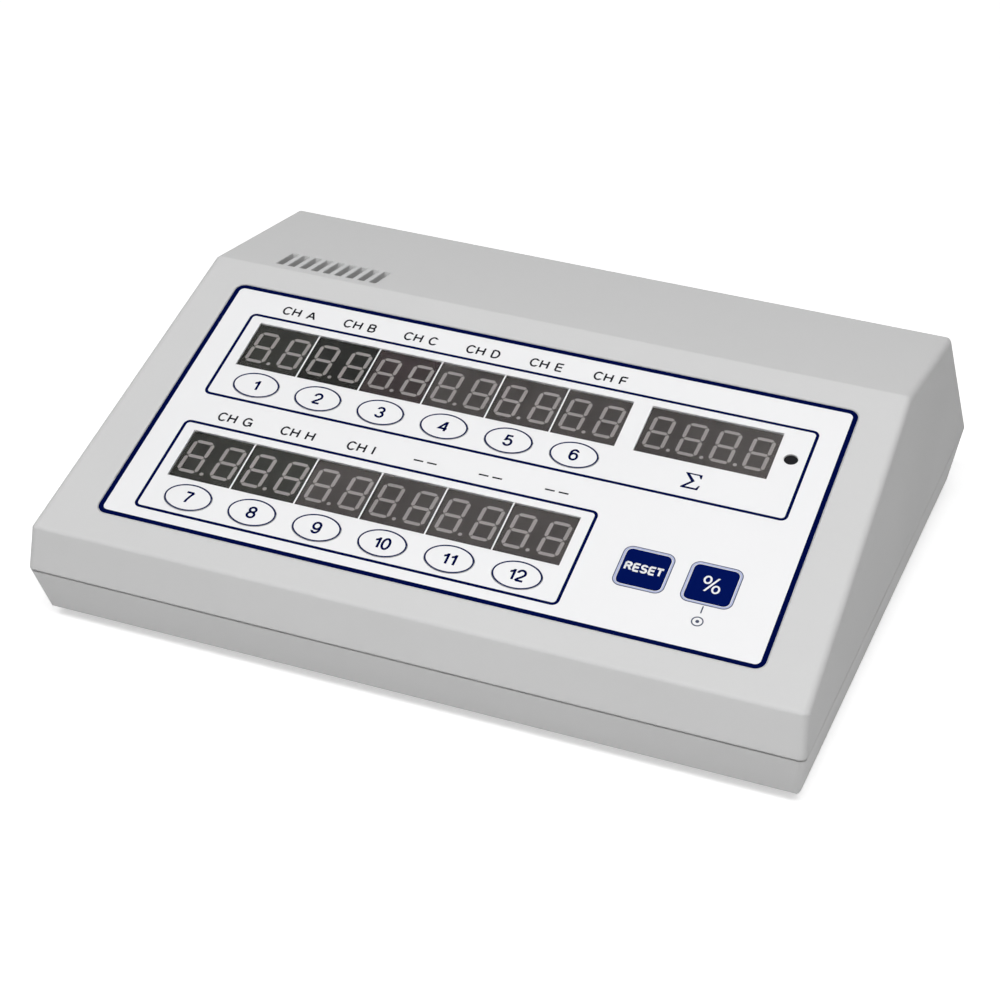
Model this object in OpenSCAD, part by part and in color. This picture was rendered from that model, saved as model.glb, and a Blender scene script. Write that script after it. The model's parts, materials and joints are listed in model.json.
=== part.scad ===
// Bench cell counter: a wedge-shaped two-shell case with a sloping membrane panel,
// twelve two-digit displays, a four-digit total, fourteen keys and a rear connector bay.
// X is to the right, Y to the rear and Z up. The origin is under the middle of the case,
// on the surface that the feet stand on. All sizes are in millimetres.

/* [Case] */
// Width of the case at its parting line
case_w = 172.5; // [168:0.5:185]
// Depth of the case at its parting line
case_d = 164; // [160:0.5:180]
// Height of the lower shell
tray_h = 12.6; // [11.5:0.1:18]
// Height of the upright lip at the front
lip_h = 10.4; // [9:0.1:16]
// How far the lip leans back over its height
lip_lean = 0.7; // [0.2:0.1:2]
// Slope of the front panel in degrees
panel_angle = 20; // [18:0.5:23]
// Length of the sloping panel from the lip to the crease
panel_len = 90.5; // [88:0.5:96]
// Depth of the top face behind the crease
top_len = 46.8; // [44:0.1:52]
// Fall of the top face over its depth
top_drop = 5.1; // [3:0.1:6.5]
// Inward lean of the upper side walls per millimetre of height
side_draft = 0.066; // [0.04:0.002:0.09]
// Inward lean of the lower shell's front wall over its height
tray_front_taper = 6.4; // [4:0.1:9]
// Inward lean of the lower shell's rear wall over its height
tray_rear_taper = 8.9; // [4:0.1:10]
// Inward lean of the lower shell's side walls over their height
tray_side_taper = 1.4; // [0.5:0.1:2.5]
// Thickness of the plastic walls
wall = 2.5; // [2:0.1:2.8]

/* [Edges] */
// Rounding of the upright and sloping side edges
side_r = 1.7; // [1.2:0.1:3.5]
// Rounding of the lip's top edge
lip_r = 1; // [0.6:0.1:2]
// Rounding of the crease and of the rear ridge
crease_r = 1.2; // [1:0.1:4]
// Rounding of the lower shell's bottom edges
bottom_r = 2; // [1:0.1:3.5]
// Height of the seam groove where the two shells meet
seam_h = 0.35; // [0.2:0.05:0.6]
// Depth of the seam groove
seam_d = 0.6; // [0.3:0.05:0.8]

/* [Panel overlay] */
// Bare margin between the overlay and the case's sides
overlay_side = 12.15; // [10:0.05:13]
// Height of the printed overlay along the slope
overlay_l = 75; // [74:0.1:78]
// Bare margin between the lip and the overlay
overlay_margin = 8; // [6.5:0.1:8.5]
// Thickness of the overlay film
film_t = 0.5; // [0.3:0.05:0.55]
// Depth of the recess that the overlay lies in
recess_depth = 0.6; // [0.6:0.05:0.8]
// Gap between the overlay and the edge of its recess
recess_gap = 0.1; // [0.1:0.05:0.5]
// Corner radius of the overlay
overlay_r = 2.4; // [1.5:0.1:4]

/* [Displays] */
// Width of a two-digit display
module_w = 14.75; // [14.5:0.05:14.9]
// Height of every display along the slope
module_l = 14.05; // [13.5:0.05:14.3]
// Thickness of every display
module_h = 7; // [6.5:0.1:8]
// Spacing of the displays in a row
module_pitch = 15.03; // [15:0.01:15.2]
// Width of the four-digit display
total_w = 29.6; // [29:0.1:30]
// Clearance round a display in the upper shell
module_gap = 0.3; // [0.2:0.05:0.4]
// Middle of both rows, left of the panel's centre line
row_x = -18.65; // [-19:0.05:-18]
// Middle of the upper row above the overlay's lower edge
upper_row = 57.05; // [56.6:0.05:57.6]
// Middle of the lower row above the overlay's lower edge
lower_row = 21.35; // [20.9:0.05:21.8]
// Middle of the four-digit display, right of the centre line
total_x = 45.4; // [45:0.1:46]

/* [Keys] */
// Width of an oval key
oval_w = 10.84; // [10:0.02:11.2]
// Height of an oval key
oval_l = 7.53; // [7:0.01:7.6]
// Distance from a display's middle down to its key's middle
key_drop = 12.05; // [11.8:0.05:12.2]
// Side of a square key
square_w = 9.5; // [8.5:0.1:10]
// Corner radius of a square key
square_r = 1.2; // [0.6:0.1:2]
// Middle of the clearing key, right of the centre line
reset_x = 43.35; // [42.8:0.05:44]
// Middle of the percentage key, right of the centre line
percent_x = 57.9; // [57.4:0.05:58.4]
// Middle of the square keys above the overlay's lower edge
square_row = 18.4; // [17.6:0.1:19.6]
// Thickness of a key's pad
pad_t = 1; // [0.8:0.1:1.4]
// How far a pad stands above the film
pad_proud = 0.1; // [0:0.05:0.2]
// Gap between a pad and the film round it
pad_gap = 0.12; // [0.08:0.01:0.2]
// Gap between a pad and the upper shell round it
pad_shell_gap = 0.4; // [0.3:0.05:0.45]
// Stroke of a key
key_travel = 0.4; // [0.2:0.05:0.4]
// Radius of a key's stem
stem_r = 1.7; // [1.4:0.05:1.9]
// Radial clearance of a stem in its switch
stem_gap = 0.05; // [0.02:0.01:0.1]
// Side of a push switch
switch_w = 6; // [5.5:0.1:6.5]
// Height of a push switch
switch_h = 3.5; // [3:0.1:3.8]
// Depth of the well in a push switch
switch_well = 1.2; // [1:0.1:1.5]

/* [Sounder] */
// Radius of the sound hole
sound_r = 1.55; // [1:0.05:1.7]
// Distance from the four-digit display to the sound hole's middle
sound_gap = 3.4; // [3.2:0.1:3.8]
// Radius of the buzzer
buzzer_r = 4.5; // [3.5:0.1:4.6]
// Distance of the buzzer's middle beyond the sound hole's
buzzer_shift = 2.6; // [2.5:0.1:2.9]

/* [Vents] */
// Number of vent slots
vent_count = 9; // [5:1:10]
// Spacing of the vent slots
vent_pitch = 2.96; // [2.6:0.02:3.1]
// Width of a vent slot
vent_w = 1.7; // [1:0.1:1.9]
// Length of a vent slot
vent_l = 9.6; // [6:0.1:12]
// Distance from the crease to the slots
vent_back = 2.9; // [2.2:0.1:4]
// Corner radius of a vent slot
vent_r = 0.3; // [0.1:0.05:0.45]
// Middle of the first slot, left of the centre line
vent_x = -68.4; // [-70:0.1:-66]

/* [Main board] */
// Distance of the main board from the case's sides
board_side = 14.75; // [13.75:0.05:16]
// Height of the main board along the slope
board_l = 78; // [76:0.5:79]
// Thickness of the circuit boards
board_t = 1.6; // [1.2:0.1:2]
// Distance of the board screws from the board's edges
board_screw_inset = 3.6; // [3.4:0.1:4]
// Radius of the bosses that hold the main board
boss_r = 2.7; // [2.4:0.1:2.9]
// Middle boss, left of the centre line
mid_boss_x = -3.6; // [-5:0.1:-2]

/* [Fasteners] */
// Radius of a board screw's shank
small_screw_r = 1.1; // [1:0.05:1.3]
// Radius of a board screw's head
small_head_r = 2.2; // [2:0.1:2.4]
// Thickness of a board screw's head
small_head_h = 1.4; // [1.2:0.1:1.6]
// Reach of a board screw beyond its board
small_reach = 3.6; // [3:0.1:4]
// Radius of a case screw's shank
case_screw_r = 1.45; // [1.3:0.05:1.6]
// Radius of a case screw's head
case_head_r = 2.8; // [2.5:0.1:3]
// Thickness of a case screw's head
case_head_h = 2; // [1.6:0.1:2.2]
// Length of a case screw's shank
case_screw_l = 15; // [12:0.5:16]
// Radial clearance round a screw
screw_gap = 0.05; // [0.02:0.01:0.1]
// Radius of the pillars that take the case screws
pillar_r = 4.3; // [4:0.1:4.5]
// Distance of the pillars from the case's sides
pillar_side = 9; // [8.8:0.1:9.4]
// Distance of the front pillars from the case's front
pillar_front = 14.6; // [14:0.1:18]
// Distance of the rear pillars from the case's rear
pillar_rear = 23.3; // [22:0.1:26]

/* [Feet] */
// Radius of a foot
foot_r = 5; // [4:0.1:7]
// Height of a foot below the case
foot_h = 2.5; // [1.5:0.1:4]
// Depth of a foot's seat in the lower shell
foot_seat = 0.8; // [0.4:0.1:1.2]
// Distance of the feet from the centre line
foot_x = 60; // [50:0.5:63]
// Distance of the feet from the middle, to the front and the rear
foot_y = 61; // [50:0.5:64]

/* [Connector bay] */
// Width of the bay in the rear wall
bay_w = 130; // [128:0.5:134]
// Distance from the rear ridge to the bay's upright wall
bay_back = 5; // [4:0.1:7]
// Height of the connectors' middle above the bay's floor
port_z = 13.7; // [13:0.1:14.5]
// Mains inlet, left of the centre line
inlet_x = -38; // [-39:0.5:-36]
// Power switch, right of the centre line
rocker_x = 2; // [0:0.5:4]
// Data port, right of the centre line
data_x = 40; // [38:0.5:44]
// Thickness of the connector flanges
flange_t = 1.8; // [1.4:0.1:2.2]

/* [Mains inlet] */
// Width of the inlet's flange
inlet_flange_w = 48; // [46:0.5:50]
// Height of the inlet's flange
inlet_flange_l = 22; // [21.5:0.1:24]
// Spacing of the inlet's screws
inlet_screw_pitch = 40; // [39:0.5:41]
// Width of the socket
socket_w = 24.4; // [24:0.1:25]
// Height of the socket
socket_l = 16.4; // [16:0.1:17]
// Depth of the socket
socket_d = 16; // [14:0.1:18]
// Thickness of the inlet's walls
inlet_wall = 1.3; // [1:0.1:1.6]
// Spacing of the outer two pins
pin_pitch = 14; // [13.5:0.1:14.5]
// Height of the earth pin above the other two
pin_rise = 4; // [3.5:0.1:4.5]

/* [Power switch] */
// Width of the switch's bezel
bezel_w = 21; // [20.5:0.1:23]
// Height of the switch's bezel
bezel_l = 15; // [14.5:0.1:17]
// Half width of the rocker
rocker_a = 8; // [7.8:0.1:8.2]
// Half height of the rocker
rocker_b = 5.1; // [4.8:0.1:5.2]
// Tilt of the rocker at rest, from level
rocker_tilt = 8; // [6:0.5:8]
// Radius of the rocker's pivots
pivot_r = 1; // [0.8:0.05:1.2]
// Radial clearance of the pivots
pivot_gap = 0.05; // [0.02:0.01:0.1]
// Depth of the switch body behind the wall
switch_body_d = 17; // [14:0.5:20]

/* [Data port] */
// Width of the data port's flange
data_flange_w = 30.8; // [30:0.1:32]
// Height of the data port's flange
data_flange_l = 12.5; // [12:0.1:13]
// Spacing of the port's hexagonal posts
post_pitch = 25; // [24.5:0.1:25.5]
// How far the port's nose stands out of its flange
nose_h = 5.8; // [5:0.1:6]

/* [Power board] */
// Width of the power board
power_w = 78; // [76:0.5:80]
// Depth of the power board
power_d = 44; // [42:0.5:46]
// Middle of the power board, left of the centre line
power_x = -34; // [-35:0.5:-32]
// Distance of the power board's rear edge from the bay's upright wall
power_back = 30.7; // [28:0.1:32]
// Height of the power board's standoffs above the floor
standoff_h = 3; // [2.5:0.1:4]
// Radius of the power board's standoffs
standoff_r = 3; // [2.6:0.1:3.4]

/* [Hidden] */
eps = 0.05;
far = 400;
curve_fn = 64;
small_fn = 32;
hex_fn = 6;

// Levels of the case, from the standing surface up
z_part = foot_h + tray_h;
z_floor = foot_h + wall;
z_lip = z_part + lip_h;
y_front = -case_d / 2;
y_rear = case_d / 2;
y_lip = y_front + lip_lean;
y_crease = y_lip + panel_len * cos(panel_angle);
z_crease = z_lip + panel_len * sin(panel_angle);
y_ridge = y_crease + top_len;
z_ridge = z_crease - top_drop;
top_angle = atan(top_drop / top_len);

// Outlines of the two shells seen from the right, each a chain of corners
upper_chain = [
    [y_front, z_part],
    [y_lip, z_lip],
    [y_crease, z_crease],
    [y_ridge, z_ridge],
    [y_rear, z_part]
];
lower_chain = [
    [y_rear, z_part],
    [y_rear - tray_rear_taper, foot_h],
    [y_front + tray_front_taper, foot_h],
    [y_front, z_part]
];
tray_draft = -tray_side_taper / tray_h;

// Levels of the panel, outward from its face
film_top = film_t - recess_depth;
board_top = -recess_depth - module_h;
board_bottom = board_top - board_t;
pad_top = film_top + pad_proud;
pad_bottom = pad_top - pad_t;
switch_top = board_top + switch_h;
stem_spare = 0.1;
stem_end = switch_top - switch_well + key_travel + stem_spare;

// Widths that follow the case
overlay_w = case_w - 2 * overlay_side;
board_w = case_w - 2 * board_side;

// Places on the overlay
columns = 6;
row_w = (columns - 1) * module_pitch + module_w;
sound_x = total_x + total_w / 2 + sound_gap;
buzzer_x = sound_x + buzzer_shift;
buzzer_gap = 0.2;
board_mid = overlay_l / 2;
boss_places = [
    for (x = [-1, 1]) for (t = [-1, 0, 1])
        [x * (board_w / 2 - board_screw_inset), board_mid + t * (board_l / 2 - board_screw_inset)],
    [mid_boss_x, board_mid]
];

// Pillars and feet
pillar_places = [
    for (x = [-1, 1]) for (y = [y_front + pillar_front, y_rear - pillar_rear])
        [x * (case_w / 2 - pillar_side), y]
];
head_seat = 3;
head_gap = 0.2;
foot_places = [for (x = [-1, 1]) for (y = [-1, 1]) [x * foot_x, y * foot_y]];

// Rear bay
bay_y = y_ridge + bay_back;
bay_floor = z_part + wall;
port_mid = bay_floor + port_z;

// Power board
power_y = bay_y - power_back - power_d / 2;
power_bottom = z_floor + standoff_h;
power_top = power_bottom + board_t;
power_inset = 4;
standoff_places = [
    for (x = [-1, 1]) for (y = [-1, 1])
        [power_x + x * (power_w / 2 - power_inset), power_y + y * (power_d / 2 - power_inset)]
];

// Label on the underside
label_w = 52;
label_l = 24;
label_t = 0.3;

// ---- Helpers ----

// Outward normal of the face that runs along X over the chain's edge from p to q
function face_normal(p, q) = [0, p[1] - q[1], q[0] - p[0]] / norm(q - p);

// Outward normal of the right or left side wall, side = 1 or -1
function wall_normal(side, draft) = [side, 0, draft] / norm([1, draft]);

// Half width of a shell at height z
function half_w(z, draft) = case_w / 2 - draft * (z - z_part);

// Corner of a chain on one side of the case
function side_corner(p, side, draft) = [side * half_w(p[1], draft), p[0], p[1]];

// A chain with every face moved inward by t, and its open end moved beyond the parting line
function inset_corner(p, na, nb, t) = p - (na + nb) * t / (1 + na * nb);
function flat(n) = [n[1], n[2]];
function inset_chain(c, t) =
    let (
        n = [for (i = [0:len(c) - 2]) flat(face_normal(c[i], c[i + 1]))],
        last = len(c) - 1,
        first_run = (c[1] - c[0]) / norm(c[1] - c[0]),
        last_run = (c[last] - c[last - 1]) / norm(c[last] - c[last - 1])
    )
    concat(
        [c[0] - n[0] * t - first_run * wall],
        [for (i = [1:last - 1]) inset_corner(c[i], n[i - 1], n[i], t)],
        [c[last] - n[last - 1] * t + last_run * wall]
    );

// Solid between a chain and the side walls, all moved inward by t
module case_solid(chain, draft, t) {
    low = min([for (p = chain) p[1]]) - wall;
    high = max([for (p = chain) p[1]]) + wall;
    side_t = t * norm([1, draft]);
    intersection() {
        rotate([90, 0, 90])
            linear_extrude(case_w + 2 * wall, center = true)
                polygon(chain);
        rotate([90, 0, 0])
            linear_extrude(case_d + 2 * wall, center = true)
                polygon([
                    [-half_w(low, draft) + side_t, low],
                    [half_w(low, draft) - side_t, low],
                    [half_w(high, draft) - side_t, high],
                    [-half_w(high, draft) + side_t, high]
                ]);
    }
}

// Sliver that rounds the edge from a to b between faces of outward normals na and nb
module edge_sliver(a, b, na, nb, r) {
    run = (b - a) / norm(b - a);
    across = cross(run, na);
    centre = -(na + nb) * r / (1 + na * nb);
    outside = na + nb;
    corners = [outside, centre + r * na, centre, centre + r * nb];
    crossing = 0.01;
    multmatrix([
        [na[0], across[0], run[0], a[0]],
        [na[1], across[1], run[1], a[1]],
        [na[2], across[2], run[2], a[2]],
        [0, 0, 0, 1]
    ])
        translate([0, 0, -r * 2])
            linear_extrude(norm(b - a) + r * 4)
                difference() {
                    polygon([for (c = corners) [c * na, c * across]]);
                    translate([centre * na, centre * across])
                        circle(r + crossing, $fn = curve_fn);
                }
}

// All the slivers of a shell: the side edges with radius rs, the edges along X with radii rx
module shell_slivers(chain, draft, rs, rx) {
    last = len(chain) - 1;
    for (side = [-1, 1])
        for (i = [0:last - 1])
            edge_sliver(
                side_corner(chain[i], side, draft),
                side_corner(chain[i + 1], side, draft),
                wall_normal(side, draft),
                face_normal(chain[i], chain[i + 1]),
                rs
            );
    for (i = [1:last - 1])
        edge_sliver(
            side_corner(chain[i], -1, draft),
            side_corner(chain[i], 1, draft),
            face_normal(chain[i - 1], chain[i]),
            face_normal(chain[i], chain[i + 1]),
            rx[i - 1]
        );
}

// Frame of the overlay: X across, Y up the slope from the overlay's lower edge, Z outward
module on_overlay() {
    translate([0, y_lip, z_lip])
        rotate([panel_angle, 0, 0])
            translate([0, overlay_margin, 0])
                children();
}

// Frame of the bay's upright wall: X across, Y up from the ports' middle, Z to the rear
module on_bay(x) {
    translate([x, bay_y, port_mid])
        rotate([90, 0, 180])
            mirror([1, 0, 0])
                children();
}

// Flat rectangle with round corners, centred
module rounded_rect(w, l, r) {
    square([w - 2 * r, l], center = true);
    square([w, l - 2 * r], center = true);
    for (x = [-1, 1])
        for (y = [-1, 1])
            translate([x * (w / 2 - r), y * (l / 2 - r)])
                circle(r, $fn = curve_fn);
}

// Flat oval
module oval(w, l) {
    scale([w / 2, l / 2])
        circle(1, $fn = curve_fn);
}

// Straight slot along X with round ends
module slot(w, l) {
    square([w - l, l], center = true);
    for (x = [-1, 1])
        translate([x * (w - l) / 2, 0])
            circle(l / 2, $fn = curve_fn);
}

// Block between two levels of the frame it is drawn in
module slab(bottom, top) {
    translate([0, 0, bottom])
        linear_extrude(top - bottom)
            children();
}

// Middle of each display and key on the overlay, i = 1 to 12
function column(i) = (i - 1) % columns;
function display_x(i) = row_x + (column(i) - (columns - 1) / 2) * module_pitch;
function display_t(i) = i <= columns ? upper_row : lower_row;
function key_t(i) = display_t(i) - key_drop;
square_keys = [[reset_x, square_row], [percent_x, square_row]];
key_places = concat([for (i = [1:12]) [display_x(i), key_t(i)]], square_keys);

// The three windows, each [middle across, middle up, width]
windows = [[row_x, upper_row, row_w], [row_x, lower_row, row_w], [total_x, upper_row, total_w]];

// ---- Case ----

module upper_shell() {
    color("#cfcfd1")
        difference() {
            union() {
                difference() {
                    case_solid(upper_chain, side_draft, 0);
                    case_solid(inset_chain(upper_chain, wall), side_draft, wall);
                }
                intersection() {
                    case_solid(upper_chain, side_draft, 0);
                    bay_block(wall);
                }
                intersection() {
                    case_solid(upper_chain, side_draft, wall / 2);
                    for (p = pillar_places)
                        translate([p[0], p[1], z_part])
                            cylinder(r = pillar_r, h = z_crease, $fn = curve_fn);
                }
                on_overlay()
                    for (p = boss_places)
                        translate([p[0], p[1], board_top])
                            cylinder(r = boss_r, h = -board_top - wall / 2, $fn = small_fn);
            }
            translate([0, 0, z_part - far])
                linear_extrude(far)
                    square(far, center = true);
            shell_slivers(upper_chain, side_draft, side_r, [lip_r, crease_r, crease_r]);
            bay_block(0);
            panel_cuts();
            vent_cuts();
            port_cuts();
            pillar_bores();
        }
}

// Space of the connector bay, grown by t on every side that has a wall
module bay_block(t) {
    translate([-bay_w / 2 - t, bay_y - t, bay_floor - t])
        cube([bay_w + 2 * t, far, far]);
}

module panel_cuts() {
    on_overlay() {
        translate([0, overlay_l / 2, 0])
            slab(-recess_depth, wall)
                rounded_rect(
                    overlay_w + 2 * recess_gap,
                    overlay_l + 2 * recess_gap,
                    overlay_r + recess_gap
                );
        for (w = windows)
            translate([w[0], w[1], 0])
                slab(-2 * wall, wall)
                    square([w[2] + 2 * module_gap, module_l + 2 * module_gap], center = true);
        for (i = [1:12])
            translate([display_x(i), key_t(i), 0])
                slab(-2 * wall, wall)
                    slot(oval_w + 2 * pad_shell_gap, oval_l + 2 * pad_shell_gap);
        for (p = square_keys)
            translate([p[0], p[1], 0])
                slab(-2 * wall, wall)
                    rounded_rect(square_w + 2 * pad_shell_gap, square_w + 2 * pad_shell_gap, square_r);
        translate([sound_x, upper_row, -2 * wall])
            cylinder(r = sound_r, h = 3 * wall, $fn = small_fn);
        for (p = boss_places)
            translate([p[0], p[1], board_top - eps])
                cylinder(r = small_screw_r + screw_gap, h = small_reach + wall / 2, $fn = small_fn);
    }
}

module vent_cuts() {
    translate([0, y_crease, z_crease])
        rotate([-top_angle, 0, 0])
            for (i = [0:vent_count - 1])
                translate([vent_x + i * vent_pitch, vent_back + vent_l / 2, 0])
                    slab(-2 * wall, wall)
                        rounded_rect(vent_w, vent_l, vent_r);
}

// Holes in the bay's upright wall
cut_gap = 0.3;
module port_cuts() {
    on_bay(inlet_x) {
        slab(-2 * wall, wall)
            square([inlet_cut_w, inlet_cut_l], center = true);
        for (x = [-1, 1])
            translate([x * inlet_screw_pitch / 2, 0, -2 * wall])
                cylinder(r = case_screw_r + screw_gap, h = 3 * wall, $fn = small_fn);
    }
    on_bay(rocker_x)
        slab(-2 * wall, wall)
            square([switch_body_w + 2 * cut_gap, switch_body_l + 2 * cut_gap], center = true);
    on_bay(data_x) {
        slab(-2 * wall, wall)
            square([data_body_w + 2 * cut_gap, data_body_l + 2 * cut_gap], center = true);
        for (x = [-1, 1])
            translate([x * post_pitch / 2, 0, -2 * wall])
                cylinder(r = post_stud_r + screw_gap, h = 3 * wall, $fn = small_fn);
    }
}

module pillar_bores() {
    for (p = pillar_places)
        translate([p[0], p[1], z_part - eps])
            cylinder(
                r = case_screw_r + screw_gap,
                h = foot_h + head_seat + case_head_h + case_screw_l - z_part + 2 * eps,
                $fn = small_fn
            );
}

module lower_shell() {
    color("#c4c4c6")
        difference() {
            union() {
                difference() {
                    case_solid(lower_chain, tray_draft, 0);
                    case_solid(inset_chain(lower_chain, wall), tray_draft, wall);
                }
                for (p = pillar_places)
                    translate([p[0], p[1], foot_h + wall / 2])
                        cylinder(r = pillar_r, h = z_part - foot_h - wall / 2, $fn = curve_fn);
                for (p = standoff_places)
                    translate([p[0], p[1], foot_h + wall / 2])
                        cylinder(r = standoff_r, h = power_bottom - foot_h - wall / 2, $fn = small_fn);
            }
            translate([0, 0, z_part])
                linear_extrude(far)
                    square(far, center = true);
            shell_slivers(lower_chain, tray_draft, side_r, [bottom_r, bottom_r]);
            translate([0, 0, z_part - seam_h])
                linear_extrude(seam_h + eps)
                    difference() {
                        square(far, center = true);
                        rounded_rect(case_w - 2 * seam_d, case_d - 2 * seam_d, side_r - seam_d);
                    }
            for (p = pillar_places)
                translate([p[0], p[1], foot_h - eps]) {
                    cylinder(r = case_head_r + head_gap, h = head_seat + case_head_h + eps);
                    cylinder(r = case_screw_r + screw_gap, h = tray_h + 2 * eps, $fn = small_fn);
                }
            for (p = standoff_places)
                translate([p[0], p[1], power_bottom - small_reach - eps])
                    cylinder(r = small_screw_r + screw_gap, h = small_reach + 2 * eps, $fn = small_fn);
            for (p = foot_places)
                translate([p[0], p[1], foot_h - eps])
                    cylinder(r = foot_r, h = foot_seat + eps, $fn = curve_fn);
            translate([0, 0, foot_h - eps])
                linear_extrude(label_t + eps)
                    square([label_w, label_l], center = true);
        }
}

module case_screws() {
    color("#8a8c90")
        for (p = pillar_places)
            translate([p[0], p[1], foot_h + head_seat]) {
                difference() {
                    cylinder(r = case_head_r, h = case_head_h, $fn = small_fn);
                    translate([0, 0, -eps])
                        cross_recess(case_head_r, case_head_h / 2);
                }
                cylinder(r = case_screw_r, h = case_head_h + case_screw_l, $fn = small_fn);
            }
}

// Cross-shaped driver recess, its arms given as shares of the head's radius
arm_reach = 0.6;
arm_half = 0.12;
module cross_recess(r, depth) {
    for (a = [0, 90])
        rotate(a)
            translate([-r * arm_reach, -r * arm_half, 0])
                cube([2 * r * arm_reach, 2 * r * arm_half, depth]);
}

module rubber_feet() {
    color("#2a2a2c")
        for (p = foot_places)
            translate([p[0], p[1], 0])
                cylinder(r = foot_r, h = foot_h + foot_seat, $fn = curve_fn);
}

module rating_label() {
    color("#e8e8ea")
        translate([0, 0, foot_h])
            linear_extrude(label_t)
                square([label_w, label_l], center = true);
}

// ---- Panel ----

module panel_overlay() {
    color("#eef1f6")
        on_overlay()
            slab(-recess_depth, film_top)
                difference() {
                    translate([0, overlay_l / 2])
                        rounded_rect(overlay_w, overlay_l, overlay_r);
                    for (w = windows)
                        translate([w[0], w[1]])
                            square([w[2], module_l], center = true);
                    for (i = [1:12])
                        translate([display_x(i), key_t(i)])
                            oval(oval_w + 2 * pad_gap, oval_l + 2 * pad_gap);
                    for (p = square_keys)
                        translate(p)
                            rounded_rect(
                                square_w + 2 * pad_gap,
                                square_w + 2 * pad_gap,
                                square_r + pad_gap
                            );
                    translate([sound_x, upper_row])
                        circle(sound_r, $fn = small_fn);
                }
}

module display_windows() {
    color("#5a5a58")
        on_overlay()
            for (w = windows)
                translate([w[0], w[1], 0])
                    slab(-recess_depth, film_top)
                        square([w[2], module_l], center = true);
}

module display_block(x, t, w) {
    color("#3c3a36")
        on_overlay()
            translate([x, t, 0])
                slab(board_top, -recess_depth)
                    square([w, module_l], center = true);
}

module display_pair(i) {
    display_block(display_x(i), display_t(i), module_w);
}

module display_total() {
    display_block(total_x, upper_row, total_w);
}

// Stem that works the push switch under a key
module key_stem() {
    translate([0, 0, stem_end])
        cylinder(r = stem_r, h = pad_bottom + pad_t / 2 - stem_end, $fn = small_fn);
}

module oval_key(i) {
    color("#f4f6fa")
        on_overlay()
            translate([display_x(i), key_t(i), 0]) {
                slab(pad_bottom, pad_top)
                    oval(oval_w, oval_l);
                key_stem();
            }
}

module square_key(place) {
    color("#0a1f6e")
        on_overlay()
            translate([place[0], place[1], 0]) {
                slab(pad_bottom, pad_top)
                    rounded_rect(square_w, square_w, square_r);
                key_stem();
            }
}

module key_reset() {
    square_key(square_keys[0]);
}

module key_percent() {
    square_key(square_keys[1]);
}

module push_switches() {
    color("#2b2b2d")
        on_overlay()
            for (p = key_places)
                translate([p[0], p[1], 0])
                    difference() {
                        slab(board_top, switch_top)
                            square(switch_w, center = true);
                        translate([0, 0, switch_top - switch_well])
                            cylinder(r = stem_r + stem_gap, h = switch_well + eps, $fn = small_fn);
                    }
}

module buzzer() {
    color("#1c1c1e")
        on_overlay()
            translate([buzzer_x, upper_row, board_top])
                difference() {
                    cylinder(r = buzzer_r, h = -board_top - wall - buzzer_gap, $fn = curve_fn);
                    translate([0, 0, -board_top - 2 * wall])
                        cylinder(r = sound_r / 2, h = 2 * wall, $fn = small_fn);
                }
}

// ---- Main board ----

module main_board() {
    color("#2f6b3c")
        on_overlay()
            difference() {
                translate([0, board_mid, 0])
                    slab(board_bottom, board_top)
                        square([board_w, board_l], center = true);
                for (p = boss_places)
                    translate([p[0], p[1], board_bottom - eps])
                        cylinder(r = small_screw_r + screw_gap, h = board_t + 2 * eps, $fn = small_fn);
            }
}

// Pan-head screw with its head's seat at zero and its shank running up
module small_screw(grip) {
    translate([0, 0, -small_head_h])
        difference() {
            cylinder(r = small_head_r, h = small_head_h, $fn = small_fn);
            translate([0, 0, -eps])
                cross_recess(small_head_r, small_head_h / 2);
        }
    cylinder(r = small_screw_r, h = grip, $fn = small_fn);
}

module board_screws() {
    color("#b8babd")
        on_overlay()
            for (p = boss_places)
                translate([p[0], p[1], board_bottom])
                    small_screw(board_t + small_reach);
}

// Chip with two rows of legs, standing up from zero
leg_pitch = 2.54;
leg_w = 0.5;
leg_t = 0.3;
chip_lift = 0.6;
module chip(w, l, h, pairs) {
    slab(chip_lift, h)
        square([w, l], center = true);
    for (i = [0:pairs - 1])
        for (y = [-1, 1])
            translate([(i - (pairs - 1) / 2) * leg_pitch - leg_w / 2, y * l / 2 - leg_t, 0])
                cube([leg_w, 2 * leg_t, h / 2]);
}

// Frame under the main board: Z points away from its underside
module under_board(x, t) {
    on_overlay()
        translate([x, t, board_bottom])
            rotate([180, 0, 0])
                children();
}

controller_w = 52;
controller_l = 14;
controller_pairs = 20;
chip_h = 4;
module controller_chip() {
    color("#1f1f21")
        under_board(row_x, lower_row)
            chip(controller_w, controller_l, chip_h, controller_pairs);
}

driver_w = 25;
driver_l = 7;
driver_pairs = 10;
driver_count = 4;
driver_pitch = 30;
module driver_chips() {
    color("#232325")
        for (i = [0:driver_count - 1])
            under_board((i - (driver_count - 1) / 2) * driver_pitch, upper_row)
                chip(driver_w, driver_l, chip_h, driver_pairs);
}

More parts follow.
